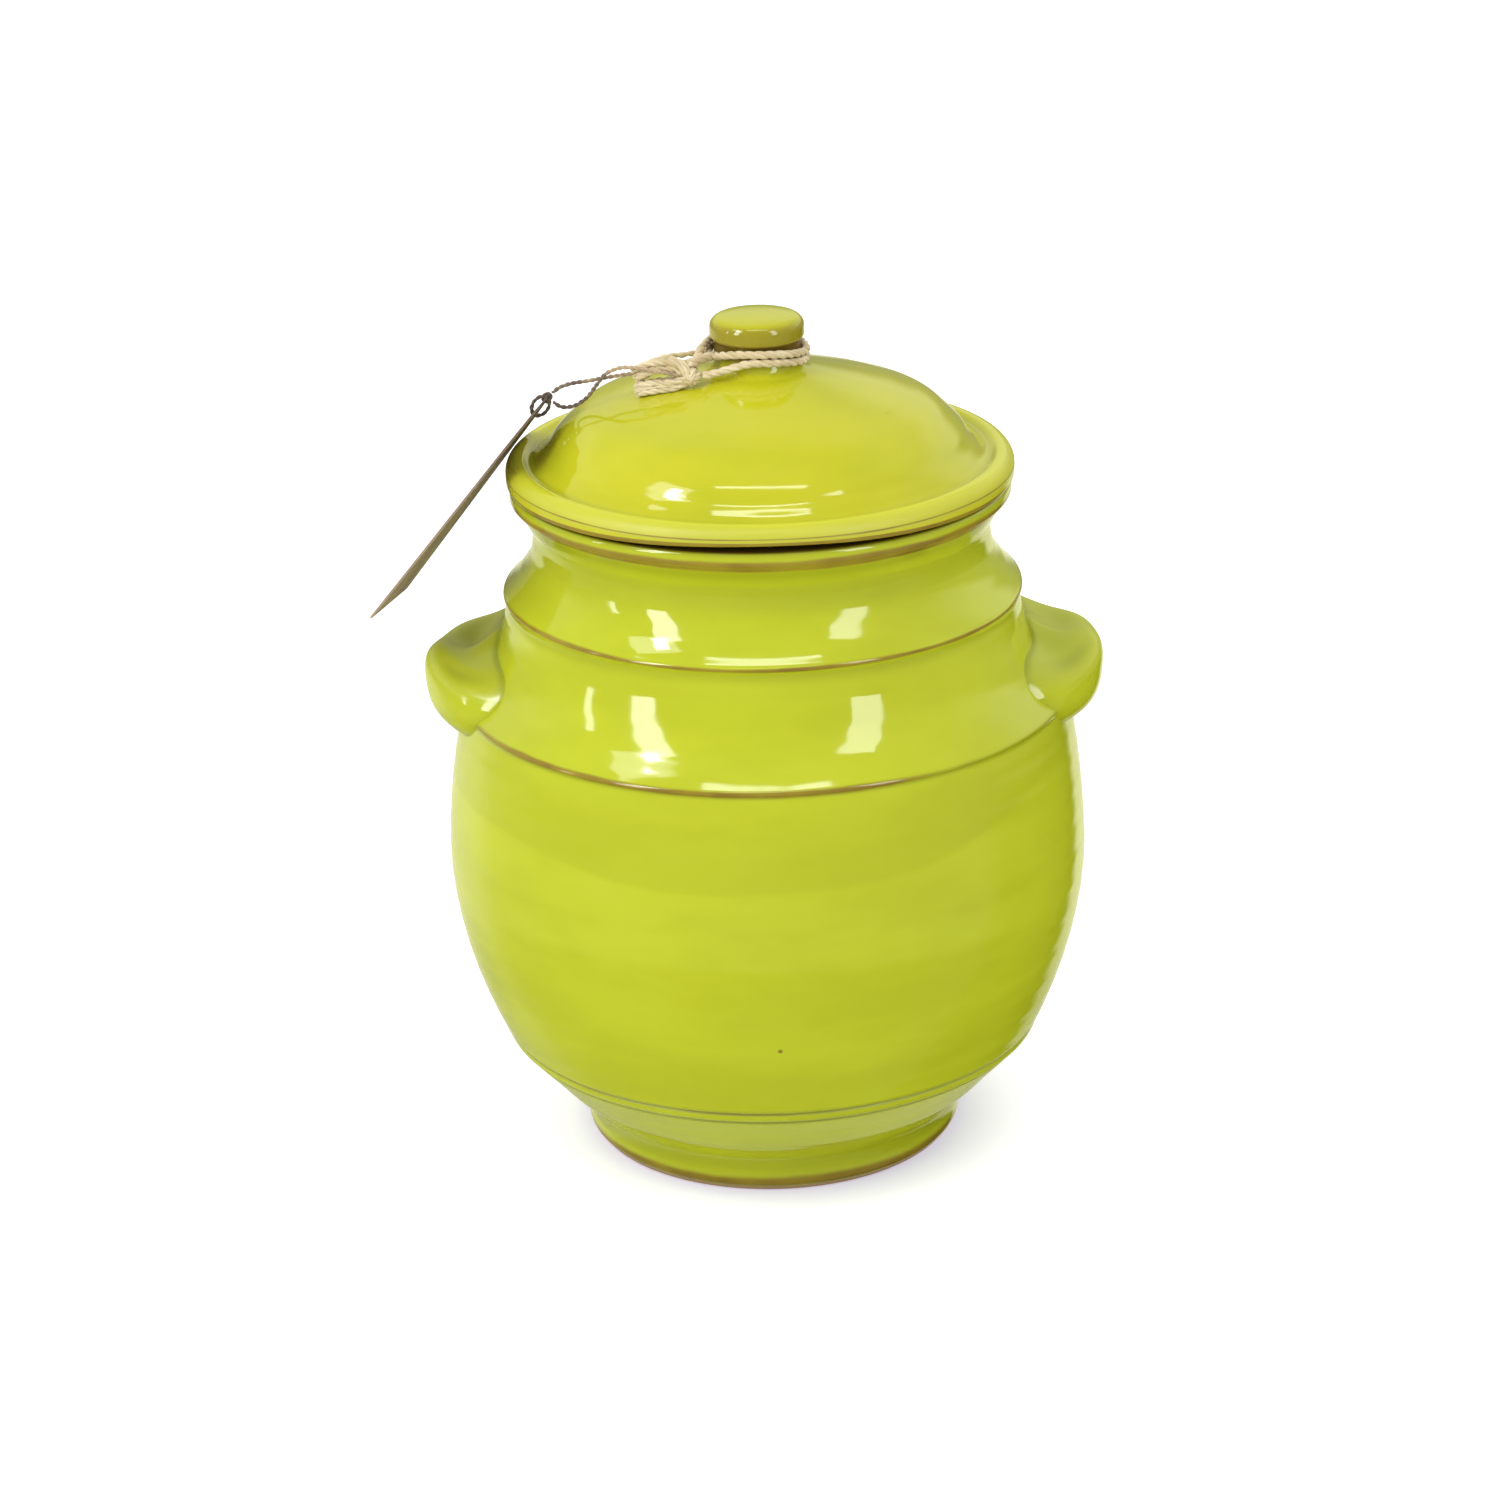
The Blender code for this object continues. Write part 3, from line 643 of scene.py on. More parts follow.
def fibre(name, light, dark, roughness):
    """Dry plant fibre: streaks along the strand, and strands of slightly different shade."""
    material, tree, shader = new_material(name)
    streak = noise(tree, streak_scale, 3, 0.7)
    shade = arithmetic(tree, "ADD", times(tree, stored(tree, "shade"), 0.4), noise(tree, patch_scale, 2))
    colour = mixed(tree, mapped(tree, shade, 0.4, 1.0), light, dark)
    inputs = {
        "Base Color": mixed(tree, mapped(tree, streak, 0.5, 0.75, 0.0, 0.5), colour, dark),
        "Roughness": roughness,
        "Sheen Weight": 0.3,
        "Normal": bumped(tree, streak, 0.5, 0.0003),
    }
    feed(tree, shader, inputs)
    return material


def card(name):
    """Recycled card: mottled brown with fine flecks, with painted shade towards the end nearest the string.
    """
    material, tree, shader = new_material(name)
    mottle = mapped(tree, noise(tree, mottle_scale, 4, 0.6), 0.3, 0.7)
    colour = mixed(tree, times(tree, mottle, 0.4), card_brown, dark_straw)
    fleck = mapped(tree, noise(tree, fleck_scale, 2, 0.7, (1, 0.25, 1)), 0.60, 0.72, 0.0, 0.5)
    colour = mixed(tree, fleck, colour, card_dark)
    inputs = {
        "Base Color": mixed(tree, times(tree, stored(tree, "shade"), 0.7), colour, card_dark),
        "Roughness": 0.7,
        "Normal": bumped(tree, noise(tree, paper_scale, 3, 0.6), 0.25, 0.0002),
    }
    feed(tree, shader, inputs)
    return material


# Jar

def swell(start, end, steps):
    """A belly curve that leaves the start freely and arrives upright at the widest point."""
    shares = [(1 - (1 - t) ** belly_fullness, t) for t in np.linspace(0, 1, steps + 1)]
    return spread(start, end, shares)


def groove(radius, height, slope):
    """One soft incised line on a sloping wall, from its lower edge to its upper edge."""
    made = []
    for t in np.linspace(-1, 1, 9):
        depth = groove_depth * (0.5 + 0.5 * math.cos(math.pi * t))
        made.append((radius + slope * t * groove_width / 2 - depth, height + t * groove_width / 2))
    return made


def outer_wall():
    """The jar's outer side from the table up to the lip's underside."""
    cone_slope = (low_groove_radius - cone_radius) / (cone_top - foot_height)
    bead_slope = (high_groove_radius - low_groove_radius) / (belly_foot - cone_top)
    base = arc((foot_radius - foot_round, foot_round), foot_round, -90, -20, 4)
    foot = smooth(spread((foot_radius, foot_round), (cone_radius, foot_height), foot_shares), 7)
    cone = smooth(spread((cone_radius, foot_height), (low_groove_radius, cone_top), cone_shares), 8)
    low_groove = groove(low_groove_radius, cone_top, cone_slope)
    high_groove = groove(high_groove_radius, belly_foot, bead_slope)
    bead = spread(low_groove[-1], high_groove[0], [(t, t) for t in (0.25, 0.5, 0.75)])
    bead = [(radius + ridge_round / 4, height) for radius, height in bead]
    widest = (belly_radius, belly_middle)
    ridge = arc((ridge_radius - ridge_round, ridge_middle), ridge_round, -50, 60, 8)
    collar = arc((collar_radius - ridge_round, collar_middle), ridge_round, -60, 70, 8)
    shoulder_top = (collar_radius - collar_overhang, collar_middle - collar_undercut)
    waist = (neck_radius, neck_middle)
    upwards = base + foot[1:] + cone[1:-1] + low_groove + bead + high_groove
    upwards += swell(high_groove[-1], widest, 48)[1:] + swell(ridge[0], widest, 44)[::-1][1:]
    upwards += ridge[1:] + smooth(spread(ridge[-1], shoulder_top, shoulder_shares), 9)[1:] + collar
    upwards += smooth(spread(collar[-1], waist, lower_neck_shares), 6)[1:]
    upwards += smooth(spread(waist, (lip_underside_radius, lip_underside), upper_neck_shares), 6)[1:]
    return upwards


def jar_outline():
    """The whole section, from the middle of the hollow's floor, over the rim, to the middle of the base."""
    keys = (
        (floor_radius, floor_height),
        (cone_radius - wall, foot_height + wall),
        (high_groove_radius - wall, belly_foot + wall),
        (belly_radius - wall, belly_middle),
        (ridge_radius - wall, ridge_middle),
        ((ridge_radius + collar_radius + neck_radius) / 3 - wall / 2, (ridge_middle + collar_middle) / 2),
        (collar_radius - wall, collar_middle),
        (neck_radius - wall, neck_middle),
        (mouth_radius, lip_underside),
    )
    top = rim - lip_round
    lip = arc((mouth_radius + lip_round, top), lip_round, 180, 90, 6)
    lip += arc((lip_radius - lip_round, top), lip_round, 90, 0, 6)
    lip += arc((lip_radius - ridge_round, lip_underside + ridge_round), ridge_round, 0, -60, 5)
    ring_inner_radius = foot_radius - foot_ring_width
    under = [
        (ring_inner_radius, 0),
        (ring_inner_radius - foot_round / 2, foot_round / 2),
        (ring_inner_radius - foot_round / 2, foot_recess_depth),
        (0, foot_recess_depth),
    ]
    inner = [(0, floor_height), (floor_radius / 2, floor_height)] + smooth(keys, 14)
    return inner + lip + outer_wall()[::-1] + under, len(inner)


def throwing_marks(height, turn):
    """The slight rings and waves that a hand leaves on a thrown wall."""
    rings = ring_depth * np.sin(height * 820 + 1.1 * np.sin(turn + 0.7))
    rings = rings + fine_ring_depth * np.sin(height * 1460 + 2.1 * np.sin(turn * 2 + 2.0) + 1.3)
    waves = wave_depth * np.sin(turn * 3 + height * 45)
    return rings + waves + ripple_depth * np.sin(turn * 7 - height * 90 + 2.2)


def band(height, middle, width):
    """A soft band: 1 at its middle, and nothing from about two widths away."""
    return np.exp(-(((height - middle) / width) ** 2))


def bands(height, rows):
    """Several soft bands added up."""
    return sum(strength * band(height, middle, width) for middle, width, strength in rows)


def polar(points):
    """Distance from the turning axis, turn round it and height of each point."""
    return np.hypot(points[:, 0], points[:, 1]), np.arctan2(points[:, 1], points[:, 0]), points[:, 2].copy()


def pour_edge(turn, height):
    """Where a second dip of glaze ends on the belly, lowest at the front, and one more low on the right."""
    front = np.angle(np.exp(1j * (turn + math.pi / 2)))
    right = np.clip(np.sin(front), 0, 1)
    upper = 0.1190 + 0.008 * np.sin(front) ** 2 + 0.013 * right ** 2 + 0.0008 * np.sin(front * 7 + 1)
    lower = 0.050 + 0.028 * np.sin(front) + 0.0010 * np.sin(front * 9)
    first = eased((height - upper) / 0.0022) * eased((ridge_middle + 0.004 - height) / 0.030)
    second = eased((lower - height) / 0.004) * eased(np.cos(front) + 0.3) * 0.35
    return first + second


def make_jar(material):
    outline, inner_count = jar_outline()

    def unevenness(radius, height, turn, order):
        free = eased((height - 0.004) / 0.01) * eased((lip_underside - 0.002 - height) / 0.006)
        return throwing_marks(height, turn) * free * (order > inner_count)

    points, faces = turned_points(outline, jar_sides, unevenness)
    radius, turn, height = polar(points)
    outside = np.concatenate([np.repeat(np.arange(len(outline) - 2) >= inner_count, jar_sides), [0, 0]])
    wander = 0.0004 * np.sin(turn * 2 + 0.5) + 0.00025 * np.sin(turn * 5 + 1.0)
    wavy = height - wander / 2
    fading = 0.25 + 0.75 * eased(np.cos(turn + math.radians(wear_bearing)) * 2.0 - 0.85)
    wear = bands(wavy, upper_wear) + bands(height, foot_wear)
    wear += (bands(wavy, ridge_wear) + bands(height, groove_wear)) * fading
    # Pooled glaze in grooves, with painted shade in the hollows, most under the lip and on the lip's top
    # beside the lid
    pool_and_shade = bands(height, pooled_and_shaded) + bands(height, lid_shadow_on_lip) * (radius > lip_radius - 0.0030)
    values = {
        "matt": bands(height, dull) * outside,
        "wear": wear * outside,
        "pool_and_shade": pool_and_shade * outside,
        "pour_and_shade": pour_edge(turn, height) * outside,
        "bare": 0.9 * (height < 0.0012) * (radius < foot_radius + 0.002) * outside,
        # The lip's top where the lid sits: dark brown, which also paints the shade in the gap
        "seat_and_shade": eased((height - rim + 0.0012) / 0.0008) * eased((lip_radius - 0.0002 - radius) / 0.0010),
    }
    piece = mesh_piece("jar_glazed", points, faces, material, values)
    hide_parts("jar_body")
    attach(piece, "jar")


def outer_radius(height):
    outline = np.array(outer_wall())
    return np.interp(height, outline[:, 1], outline[:, 0])


def rounded_share(value):
    """A circle's coordinate pressed towards a rounded square, more so on its upper side."""
    return np.sign(value) * np.abs(value) ** np.where(value > 0, lug_top_squareness, lug_foot_squareness)


def make_handle(name, side, dent_depth, phase, material):
    """A lug pressed on to the wall, full and round, dented on top by a thumb and smoothed in at its root.

    Its section runs round the rim, over the top towards the wall, and back underneath.
    """
    turn = np.radians(np.linspace(-lug_turn, lug_turn, lug_rings))[:, None]
    around = np.radians(np.linspace(-90, 90, 61))
    inwards = np.linspace(1, 0.1, 30)[1:]
    under = np.linspace(0.1, 1, 14)[:-1]
    reach_share = np.concatenate([0 * around + 1, inwards, under])[None]
    across = np.concatenate([np.cos(around) * lug_round, 0 * inwards, 0 * under])[None]
    up_share = np.concatenate([rounded_share(np.sin(around)), 1 + 0 * inwards, -1 + 0 * under])[None]
    on_top = np.clip(up_share, 0, 1)
    quarter = turn / math.radians(90)
    reach = lug_reach + lug_rim_width / 2 - lug_round
    mix = (1 - up_share) / 2
    half_chord = lug_top_half_chord + mix * (lug_foot_half_chord - lug_top_half_chord)
    uneven = 0.0005 * np.sin(turn * 3.1 + phase) + 0.0003 * np.sin(turn * 7.0 + phase * 2)
    outwards = (reach - mix * lug_lean) * reach_share
    x = lug_root_radius + (outwards + across + uneven * reach_share) * np.cos(turn)
    y = (half_chord * reach_share + across) * np.sin(turn)
    way_out = (outwards + across) / (reach + lug_round)
    dent = band(way_out, 0.52, 0.22) * band(turn, 0.25 * side, 0.70) * on_top ** 2
    crease = band(way_out, 0.93 - 0.10 * up_share, 0.07) * band(turn, -0.75 * side, 0.35) * on_top
    front = eased(-np.sin(turn) * side)
    height = lug_middle + up_share * lug_height / 2 + uneven * on_top
    height = height - dent_depth * dent - crease_depth * crease - lug_front_drop * front * on_top
    height = height + lug_foot_lift * quarter ** 2 * (1 - on_top) * mix
    radius = np.hypot(x, y)
    gap = radius - outer_radius(height)
    skirt = skirt_height * np.exp(-np.clip(gap, 0, None) / skirt_reach)
    height = height + skirt * (on_top - 0.4 * mix)
    sunk = np.minimum(0, radius - outer_radius(height) + sunk_depth)
    x = x - sunk * x / radius
    y = y - sunk * y / radius
    points = np.stack([x * side, y * side, height], axis=2).reshape(-1, 3)
    faces = strip_faces(0, lug_rings, x.shape[1])
    # Painted shade: the thumb's dent, the crease and the lug's root against the wall are darkened
    values = {
        "matt": 0.9 * on_top.repeat(lug_rings, axis=0).reshape(-1),
        "pool_and_shade": (0.45 * np.exp(-np.clip(gap, 0, None) / 0.0012) + 0.1 * dent + 0.5 * crease).reshape(-1),
        "pour_and_shade": (0.15 * dent).reshape(-1),
        "olive_and_shade": (0.18 * dent).reshape(-1),
    }
    piece = mesh_piece(f"{name}_glazed", points, faces, material, values)
    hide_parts(name)
    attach(piece, "jar")


# Lid and knob

def lid_outline():
    """The lid and its knob as one glazed section, from the top of the knob to the middle of the hollow."""
    crown = [(0, knob_top), (knob_cap_radius / 2, knob_top - knob_crown / 4)]
    top_middle = (knob_cap_radius - knob_top_round, knob_top - knob_crown - knob_top_round)
    low_middle = (knob_cap_radius - knob_lower_round, cap_base + knob_lower_round)
    cap = arc(top_middle, knob_top_round, 90, 0, 10)
    cap += arc(low_middle, knob_lower_round, 0, -knob_undercut, 8)
    neck = [(knob_neck_radius, (cap_base + neck_base) / 2)]
    knob_foot = (knob_foot_radius, dome_top + seat_gap)
    flare = smooth(spread((knob_neck_radius, neck_base), knob_foot, knob_flare_shares), 6)
    roll_middle = (flange_radius - flange_round, lid_seat + flange_edge_height)
    corner = (flange_radius - flange_underside_round, lid_seat + flange_underside_round)
    edge = [(flange_radius, roll_middle[1] - 0.0003 * step) for step in range(1, 8)]
    roll = arc(roll_middle, flange_round, roll_start, 0, 48) + edge
    roll += arc(corner, flange_underside_round, 0, -90, 6)
    inset = valley_share * flange_round
    valley = (roll_middle[0] - inset, roll_middle[1] + inset)
    crown_foot = (knob_foot_radius + ridge_round, dome_top)
    dome = smooth(spread(crown_foot, valley, dome_shares) + [roll[0]], 9)
    ring = [(ring_outer, lid_seat), (ring_outer, ring_foot), (ring_inner, ring_foot)]
    ceiling = dome_top - lid_thickness
    springing = ceiling - 0.71 * (dome_top - lid_seat)
    hollow = smooth(spread((knob_foot_radius, ceiling), (ring_inner, springing), dome_shares), 4)[::-1]
    return crown + cap[1:] + neck + flare + dome + roll[1:] + ring + hollow + [(0, ceiling)]


def make_lid(material):
    def unevenness(radius, height, turn, order):
        free = eased((height - lid_seat - 0.004) / 0.006) * eased((dome_top - height) / 0.006)
        return throwing_marks(height * 1.3, turn + 1.5) * 0.8 * free

    points, faces = turned_points(lid_outline(), jar_sides, unevenness)
    radius, turn, height = polar(points)
    up = height - lid_seat
    wander = 0.00015 * np.sin(turn * 3 + 0.2) + 0.0001 * np.sin(turn * 7)
    front = (0.5 - 0.5 * np.sin(turn)) ** 14
    low_share = eased((flange_edge_height - up) / flange_edge_height) * (radius > ring_outer)
    points[:, 2] += seat_rise * front * low_share
    on_edge = radius > flange_radius - 0.0025
    band_top = band_rise + band_front_rise * front + wander
    wear = 0.95 * eased((band_top - up) / 0.0006 + 0.5) * on_edge
    wear += 0.9 * band(up, 0.0040 + wander, 0.0003) * on_edge
    knob_neck = (height > neck_base + 0.001) * (radius < knob_foot_radius)
    wear += 1.1 * eased((cap_base + 0.0016 - height) / 0.0012) * knob_neck
    # Dark where the flange sits, which also paints the shade in the gap, and painted shade under the knob's
    # cap
    seat_and_shade = 1.0 * (up < 0.0003) * (radius < flange_radius - 0.0006)
    seat_and_shade += 0.6 * knob_neck * (height < cap_base + 0.0005) * (radius < knob_cap_radius)
    # Pooled glaze and painted shade in the valley inside the roll, and painted shade on the knob's neck
    # under its cap
    roll_crest = flange_radius - flange_round
    pool_and_shade = 0.35 * band(radius, roll_crest - 0.0034, 0.0012) * (up > 0.004)
    pool_and_shade += 0.5 * eased((height - neck_base + 0.003) / 0.004) * (height < cap_base)
    on_knob = eased((height - neck_base) / 0.002) * (radius < knob_foot_radius)
    values = {
        "wear": wear,
        "pool_and_shade": pool_and_shade,
        "matt": on_edge * band(up, 0.0052, 0.0028),
        "warm": np.ones(len(points)),
        # Painted light: a paler band along the roll's crest
        "crest_light": 0.45 * band(radius, roll_crest + 0.0006, 0.0026) * (up > 0.0050),
        "seat_and_shade": seat_and_shade,
        # Olive glaze on the knob's sides; its top is left paler as painted light
        "olive_and_shade": on_knob * (1 - 0.9 * eased((height - knob_top + 0.0026) / 0.0020)),
    }
    piece = mesh_piece("lid_glazed", points, faces, material, values)
    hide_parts("lid", "knob")
    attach(piece, "lid")


# Twine and string

def knot_centre():
    low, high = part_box("tie_knot")
    return (low + high) / 2


def leg(knot, bearing, height, way, rise):
    """One leg of the tie, from the knot at a rise in degrees to the winding, whose way round is -1 or 1."""
    radius = knob_neck_radius + twine_clearance + twine_diameter / 2
    touch = Vector((radius * math.cos(bearing), radius * math.sin(bearing), height))
    level = Vector((touch.x - knot.x, touch.y - knot.y, 0)).normalized()
    straight = level * math.cos(math.radians(rise)) + Vector((0, 0, math.sin(math.radians(rise))))
    end = knot + straight * (knot_radius + seat_gap)
    inner_end = end + straight * twine_diameter
    run = (touch - inner_end).length / 3
    tangent = Vector((-math.sin(bearing), math.cos(bearing), 0)) * way
    first = inner_end + straight * run
    second = touch - tangent * run
    points = [end]
    for t in np.linspace(0, 1, 13)[:-1]:
        near = inner_end * (1 - t) ** 3 + first * 3 * t * (1 - t) ** 2
        points.append(near + second * 3 * t * t * (1 - t) + touch * t ** 3)
    return points


def wrap_route(knot):
    """The winding as one line: from the knot, twice round the neck with one climb, and back to the knot."""
    radius = knob_neck_radius + twine_clearance + twine_diameter / 2
    away = math.atan2(knot.y, knot.x)
    spread_angle = math.acos(radius / math.hypot(knot.x, knot.y))
    start = away + spread_angle
    end = away - spread_angle + 2 * full_turn
    upper = cap_base - twine_diameter / 2 - twine_drop
    lower = upper - twine_pitch
    low_end = away - spread_angle + full_turn
    high_start = away + spread_angle + full_turn
    ring = []
    for bearing in np.linspace(start, end, 121):
        share = ((bearing - low_end) / (high_start - low_end) - climb_start_share) / climb_length_share
        climb = twine_pitch * float(eased(share))
        dip = twine_dip * max(0, math.cos(bearing)) ** 2
        ring.append((radius * math.cos(bearing), radius * math.sin(bearing), lower + climb - dip))
    back = leg(knot, end, upper, -1, back_leg_rise)[::-1]
    return leg(knot, start, lower, 1, front_leg_rise) + ring + back


def string_route(places):
    """A string from the knot to the hitch through its places, square to both."""
    knot = knot_centre()
    places = [Vector(place) for place in places]
    start = knot + (places[0] - knot).normalized() * (knot_radius + seat_gap)
    end = hitch_place + (places[-1] - hitch_place).normalized() * (hitch_radius + seat_gap)
    return smooth([start, *places, end], 8)


def make_strings(material):
    """The two runs of the tag's string, each a two-ply thread."""
    runs = (("tag_string_upper", upper_string_route), ("tag_string_lower", lower_string_route))
    made = []
    for name, places in runs:
        route = string_route(places)
        strands = Strands()
        plied(strands, route, string_diameter, 2, string_lay)
        strands.shade = eased((-0.034 - np.array(strands.points)[:, 0]) / 0.028)
        piece = strands.piece(f"{name}_thread", material)
        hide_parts(name)
        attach(piece, "lid")
        made.append((piece, route))
    return made


def make_wrap(material):
    strands = Strands()
    plied(strands, wrap_route(knot_centre()), laid_twine, 3, twine_lay, 10)
    piece = strands.piece("tie_wrap_twine", material)
    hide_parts("tie_wrap")
    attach(piece, "lid")


def make_knot(material):
    """The knot: turns of the twine drawn tight over one another."""
    centre = np.array(knot_centre())
    strands = Strands()
    turns = np.linspace(0, full_turn, 73)
    for tilt, lean, size in knot_turns:
        matrix = Matrix.Rotation(math.radians(lean), 3, "Z") @ Matrix.Rotation(math.radians(tilt), 3, "Y")
        loop = [matrix @ Vector((0, size * math.cos(t), size * math.sin(t))) for t in turns]
        plied(strands, centre + np.array(loop), laid_twine * 0.82, 3, knot_lay)
    plied(strands, smooth(rear_turn_route, 8), laid_twine * 0.8, 2, 0.0070)
    plied(strands, smooth(near_turn_route, 8), laid_twine * 1.15, 3, 0.0110, 10)
    piece = strands.piece("tie_knot_twine", material)
    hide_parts("tie_knot")
    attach(piece, "lid")


def make_tails(material):
    """The cut ends: doubled twine that opens into loose fibres at its tips."""
    random = np.random.default_rng(5)
    knot = knot_centre()
    for name, offsets in (("tie_tail_upper", upper_tail_route), ("tie_tail_lower", lower_tail_route)):
        places = [knot + Vector(offset) for offset in offsets]
        route = evenly(smooth([knot, *places], 8), 0.0008)
        along = np.linspace(0, 1, len(route))
        strands = Strands()
        for strand in range(4):
            turn = full_turn * strand / 4 + 0.7 * along + 0.4
            line = beside(route, tail_spread * (1 + along), turn)
            plied(strands, line[: len(route) - strand], 0.0024, 3, tail_lay)
        for _ in range(loose_fibres):
            turn = random.uniform(0, full_turn) + random.normal(0, 0.4) * along
            reach = math.sqrt(random.uniform(0.1, 1))
            line = beside(route, (0.0016 + 0.0012 * along ** 2) * reach, turn)
            first = int(random.uniform(0.3, 0.8) * len(route))
            line = line[first:]
            radii = np.linspace(fibre_radius, fibre_tip_radius, len(line))
            strands.add(line, radii, 5, random.uniform(0, 0.6))
        piece = strands.piece(f"{name}_fibres", material)
        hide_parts(name)
        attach(piece, "lid")


# Tag

def tag_frame():
    """The tag's own directions: X along it, Y across it and Z out of its face."""
    joint = [joint for joint in frame["joints"] if joint["name"] == "tag_swing"][0]
    across = -Vector(joint["axis"]).normalized()
    low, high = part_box("tag")
    middle = (low + high) / 2
    along = (middle - hitch_place) - across * (middle - hitch_place).dot(across)
    along.normalize()
    return Matrix((along, across, along.cross(across))).transposed()


def make_tag(card_material, thread_material):
    """The card, slightly twisted along its length, and the string's hitch through its hole."""
    turn = np.array(tag_frame())
    place = np.array(hitch_place)
    near = hitch_radius + seat_gap
    columns = 67
    rows = 37
    hole_x = 2 * hitch_ring_radius
    grid = []
    for x in np.linspace(near, near + tag_length, columns):
        clipped = max(0, near + tag_corner - x)
        half = tag_width / 2 - clipped
        grid.append([(x, y) for y in np.linspace(-half, half, rows)])
    grid = np.array(grid)
    offset = grid - (hole_x, 0)
    distance = np.linalg.norm(offset, axis=2, keepdims=True)
    inside = distance < tag_hole_radius
    pushed = (hole_x, 0) + offset / np.maximum(distance, 1e-6) * tag_hole_radius
    x, y = np.moveaxis(np.where(inside, pushed, grid), 2, 0)
    twist = tag_twist * ((x - near) / tag_length - 0.4) * y / (tag_width / 2)
    count = columns * rows
    layers = []
    for way in (1, -1):
        local = np.stack([x, y, twist + way * tag_thickness / 2], axis=2).reshape(-1, 3)
        layers.append(place + local @ turn.T)
    faces = []
    edges = []
    hidden = inside.reshape(-1)
    for column in range(columns - 1):
        for row in range(rows - 1):
            corner = column * rows + row
            corners = (corner, corner + rows, corner + rows + 1, corner + 1)
            if all(hidden[list(corners)]):
                continue
            faces.append(corners)
            faces.append(tuple(corner + count for corner in corners[::-1]))
            edges += zip(corners, corners[1:] + corners[:1])
    both_ways = set(edges)
    for a, b in edges:
        if (b, a) not in both_ways:
            faces.append((b, a, a + count, b + count))
    # Painted shade: the card darkens towards its string end
    shade = np.tile(eased(1 - (x.reshape(-1) - near) / tag_shade_length), 2)
    tag = mesh_piece("tag_card", np.concatenate(layers), faces, card_material, {"shade": shade})
    tag.data.set_sharp_from_angle(angle=math.radians(40))
    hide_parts("tag")
    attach(tag, "tag")
    strands = Strands()
    round_hole = np.linspace(0, full_turn, 61) - 0.15
    across = 1 + 0.2 * np.sin(round_hole)
    out = hitch_ring_radius * 0.72 * np.sin(round_hole)
    for shift in (-0.00065, 0.00065):
        loop = np.stack([hitch_ring_radius * (1 - np.cos(round_hole)), shift * across, out], axis=1)
        plied(strands, place + loop @ turn.T, string_diameter * 0.86, 2, hitch_lay)
    for tilt, size in ((90, 0.00135), (35, 0.0013), (-35, 0.0013)):
        tilted = turn @ np.array(Matrix.Rotation(math.radians(tilt), 3, "X"))
        turns = np.linspace(0, full_turn, 49)
        ring = size * np.stack([np.cos(turns), 0 * turns, np.sin(turns)], axis=1)
        plied(strands, place + ring @ tilted.T, string_diameter * 0.9, 2, hitch_lay)
    strands.shade = [1.0] * len(strands.points)
    hitch = strands.piece("tag_hitch_thread", thread_material)
    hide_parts("tag_hitch")
    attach(hitch, "tag")
    return hitch


# Light, floor and camera

def make_camera():
    data = bpy.data.cameras.new("camera")
    data.lens = camera_lens
    data.sensor_width = camera_sensor
    data.clip_start = camera_near
    data.clip_end = camera_far
    camera = linked("camera", data)
    rise = math.radians(camera_elevation)
    roll = math.radians(camera_roll)
    place = camera_aim + Vector((0, -math.cos(rise), math.sin(rise))) * camera_distance
    tilt = Matrix.Rotation(math.pi / 2 - rise, 4, "X")
    camera.matrix_world = Matrix.Translation(place) @ tilt @ Matrix.Rotation(roll, 4, "Z")
    bpy.context.scene.camera = camera


def softbox(name, bearing, rise, distance, width, height, strength):
    """A flat lamp that faces the jar. Bearing 0 is the camera's side, and positive is to its right."""
    data = bpy.data.lights.new(name, "AREA")
    data.shape = "RECTANGLE"
    data.size = width
    data.size_y = height
    data.energy = strength * math.pi * width * height
    lamp = linked(name, data)
    bearing = math.radians(bearing)
    rise = math.radians(rise)
    way = Vector((math.sin(bearing) * math.cos(rise), -math.cos(bearing) * math.cos(rise), math.sin(rise)))
    place = Vector((0, 0, lamp_middle)) + way * distance
    lamp.matrix_world = Matrix.Translation(place) @ way.to_track_quat("Z", "Y").to_matrix().to_4x4()


def brightness_round(tree, share, stops):
    """A grey that changes with the bearing, in degrees from the camera's side, positive to its right."""
    ramp = add_node(tree, "ShaderNodeValToRGB", {"Fac": share})
    while len(ramp.color_ramp.elements) < len(stops):
        ramp.color_ramp.elements.new(0.5)
    for element, (angle, brightness) in zip(ramp.color_ramp.elements, stops):
        element.position = (angle + 180) / 360
        element.color = (brightness, brightness, brightness, 1)
    return ramp.outputs["Color"]


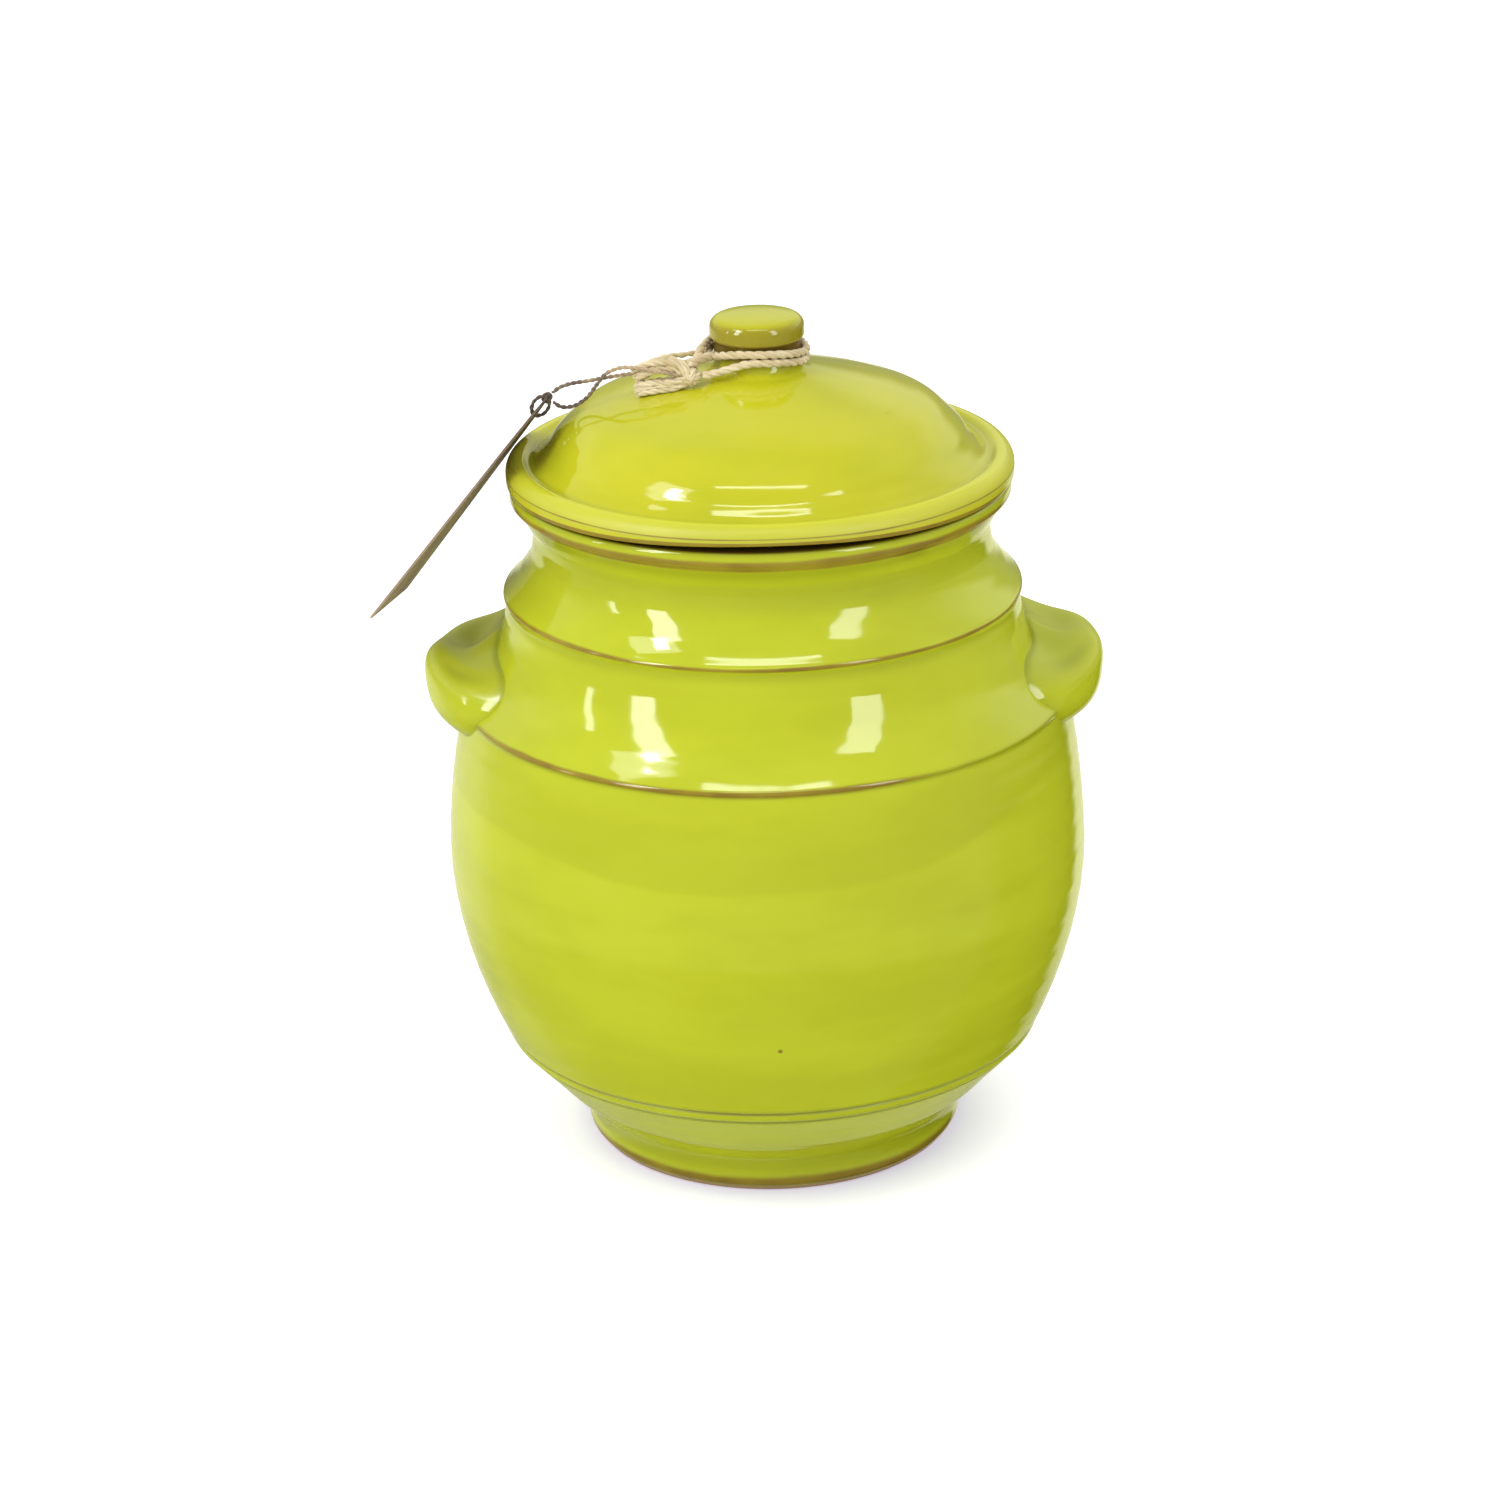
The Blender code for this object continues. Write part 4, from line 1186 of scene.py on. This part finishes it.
def make_light():
    """The lamps, a plain room that only the glaze mirrors, and a soft light from all round."""
    for lamp in lamps:
        softbox(*lamp)
    world = bpy.data.worlds.new("studio")
    bpy.context.scene.world = world
    world.use_nodes = True
    tree = world.node_tree
    background = tree.nodes["Background"]
    path = add_node(tree, "ShaderNodeLightPath", {}).outputs
    mirrored = path["Is Glossy Ray"]
    way = add_node(tree, "ShaderNodeSeparateXYZ", {"Vector": coordinates(tree, "Generated")}).outputs
    bearing = arithmetic(tree, "ARCTAN2", way["X"], times(tree, way["Y"], -1.0))
    share = mapped(tree, bearing, -math.pi, math.pi, kind="LINEAR")
    low, walls, high, low_soft, high_soft = [
        brightness_round(tree, share, stops)
        for stops in (low_stops, wall_stops, high_stops, low_soft_stops, high_soft_stops)
    ]
    height = way["Z"]
    room = mixed(tree, mapped(tree, height, *under_table_rise, 0.0, 0.5), low, (0.0, 0.0, 0.0))
    middle_layers = (horizon_rise, horizon_grey), (wall_rise, walls)
    for rise, layer in (*middle_layers, (high_rise, high), (ceiling_rise, ceiling_grey)):
        room = mixed(tree, mapped(tree, height, *rise), room, layer)
    falling = mixed(tree, mapped(tree, height, *soft_rise), low_soft, high_soft)
    soft = times(tree, arithmetic(tree, "SUBTRACT", 1.0, mirrored), falling)
    strength = arithmetic(tree, "MAXIMUM", path["Is Camera Ray"], soft)
    strength = arithmetic(tree, "MAXIMUM", times(tree, mirrored, room), strength)
    feed(tree, background, {"Color": mixed(tree, mirrored, white, room_tint), "Strength": strength})


def make_floor():
    """A floor that looks white to the camera, its glow dimmed round the foot as a painted shadow so that
    the jar's own shadow shows.
    """
    mesh = bpy.data.meshes.new("floor")
    corners = [(x * floor_half, y * floor_half, 0) for x, y in ((-1, -1), (1, -1), (1, 1), (-1, 1))]
    mesh.from_pydata(corners, [], [(0, 1, 2, 3)])
    floor = linked("floor", mesh)
    floor.location = (0, 0, -floor_drop)
    material, tree, shader = new_material("floor_white")
    middle = add_node(tree, "ShaderNodeVectorMath", {0: coordinates(tree, "Object")}, operation="LENGTH")
    # Painted shadow: the glow is dimmed within this span round the foot
    open_floor = mapped(tree, middle.outputs["Value"], shadow_start, shadow_end)
    path = add_node(tree, "ShaderNodeLightPath", {}).outputs
    inputs = {
        "Base Color": (0.9, 0.9, 0.9, 1),
        "Roughness": 0.9,
        "Specular IOR Level": 0,
        "Emission Color": mixed(tree, open_floor, dimmed_floor_glow, far_floor),
        "Emission Strength": path["Is Camera Ray"],
        "Alpha": arithmetic(tree, "SUBTRACT", 1.0, path["Is Glossy Ray"]),
    }
    feed(tree, shader, inputs)
    mesh.materials.append(material)


def main():
    bpy.context.scene.view_settings.view_transform = "Standard"
    make_camera()
    thread = fibre("thread", thread_brown, card_dark, 0.8)
    twine = fibre("twine", straw, dark_straw, 0.85)
    strings = make_strings(thread)
    hitch = make_tag(card("card"), thread)
    green = glaze("lime_glaze", lime, deep_lime)
    make_jar(green)
    make_handle("handle_left", -1, left_dent_depth, 0.4, green)
    make_handle("handle_right", 1, right_dent_depth, 2.1, green)
    make_lid(green)
    make_wrap(twine)
    make_knot(twine)
    make_tails(twine)
    make_light()
    make_floor()
    bpy.context.view_layer.update()


main()
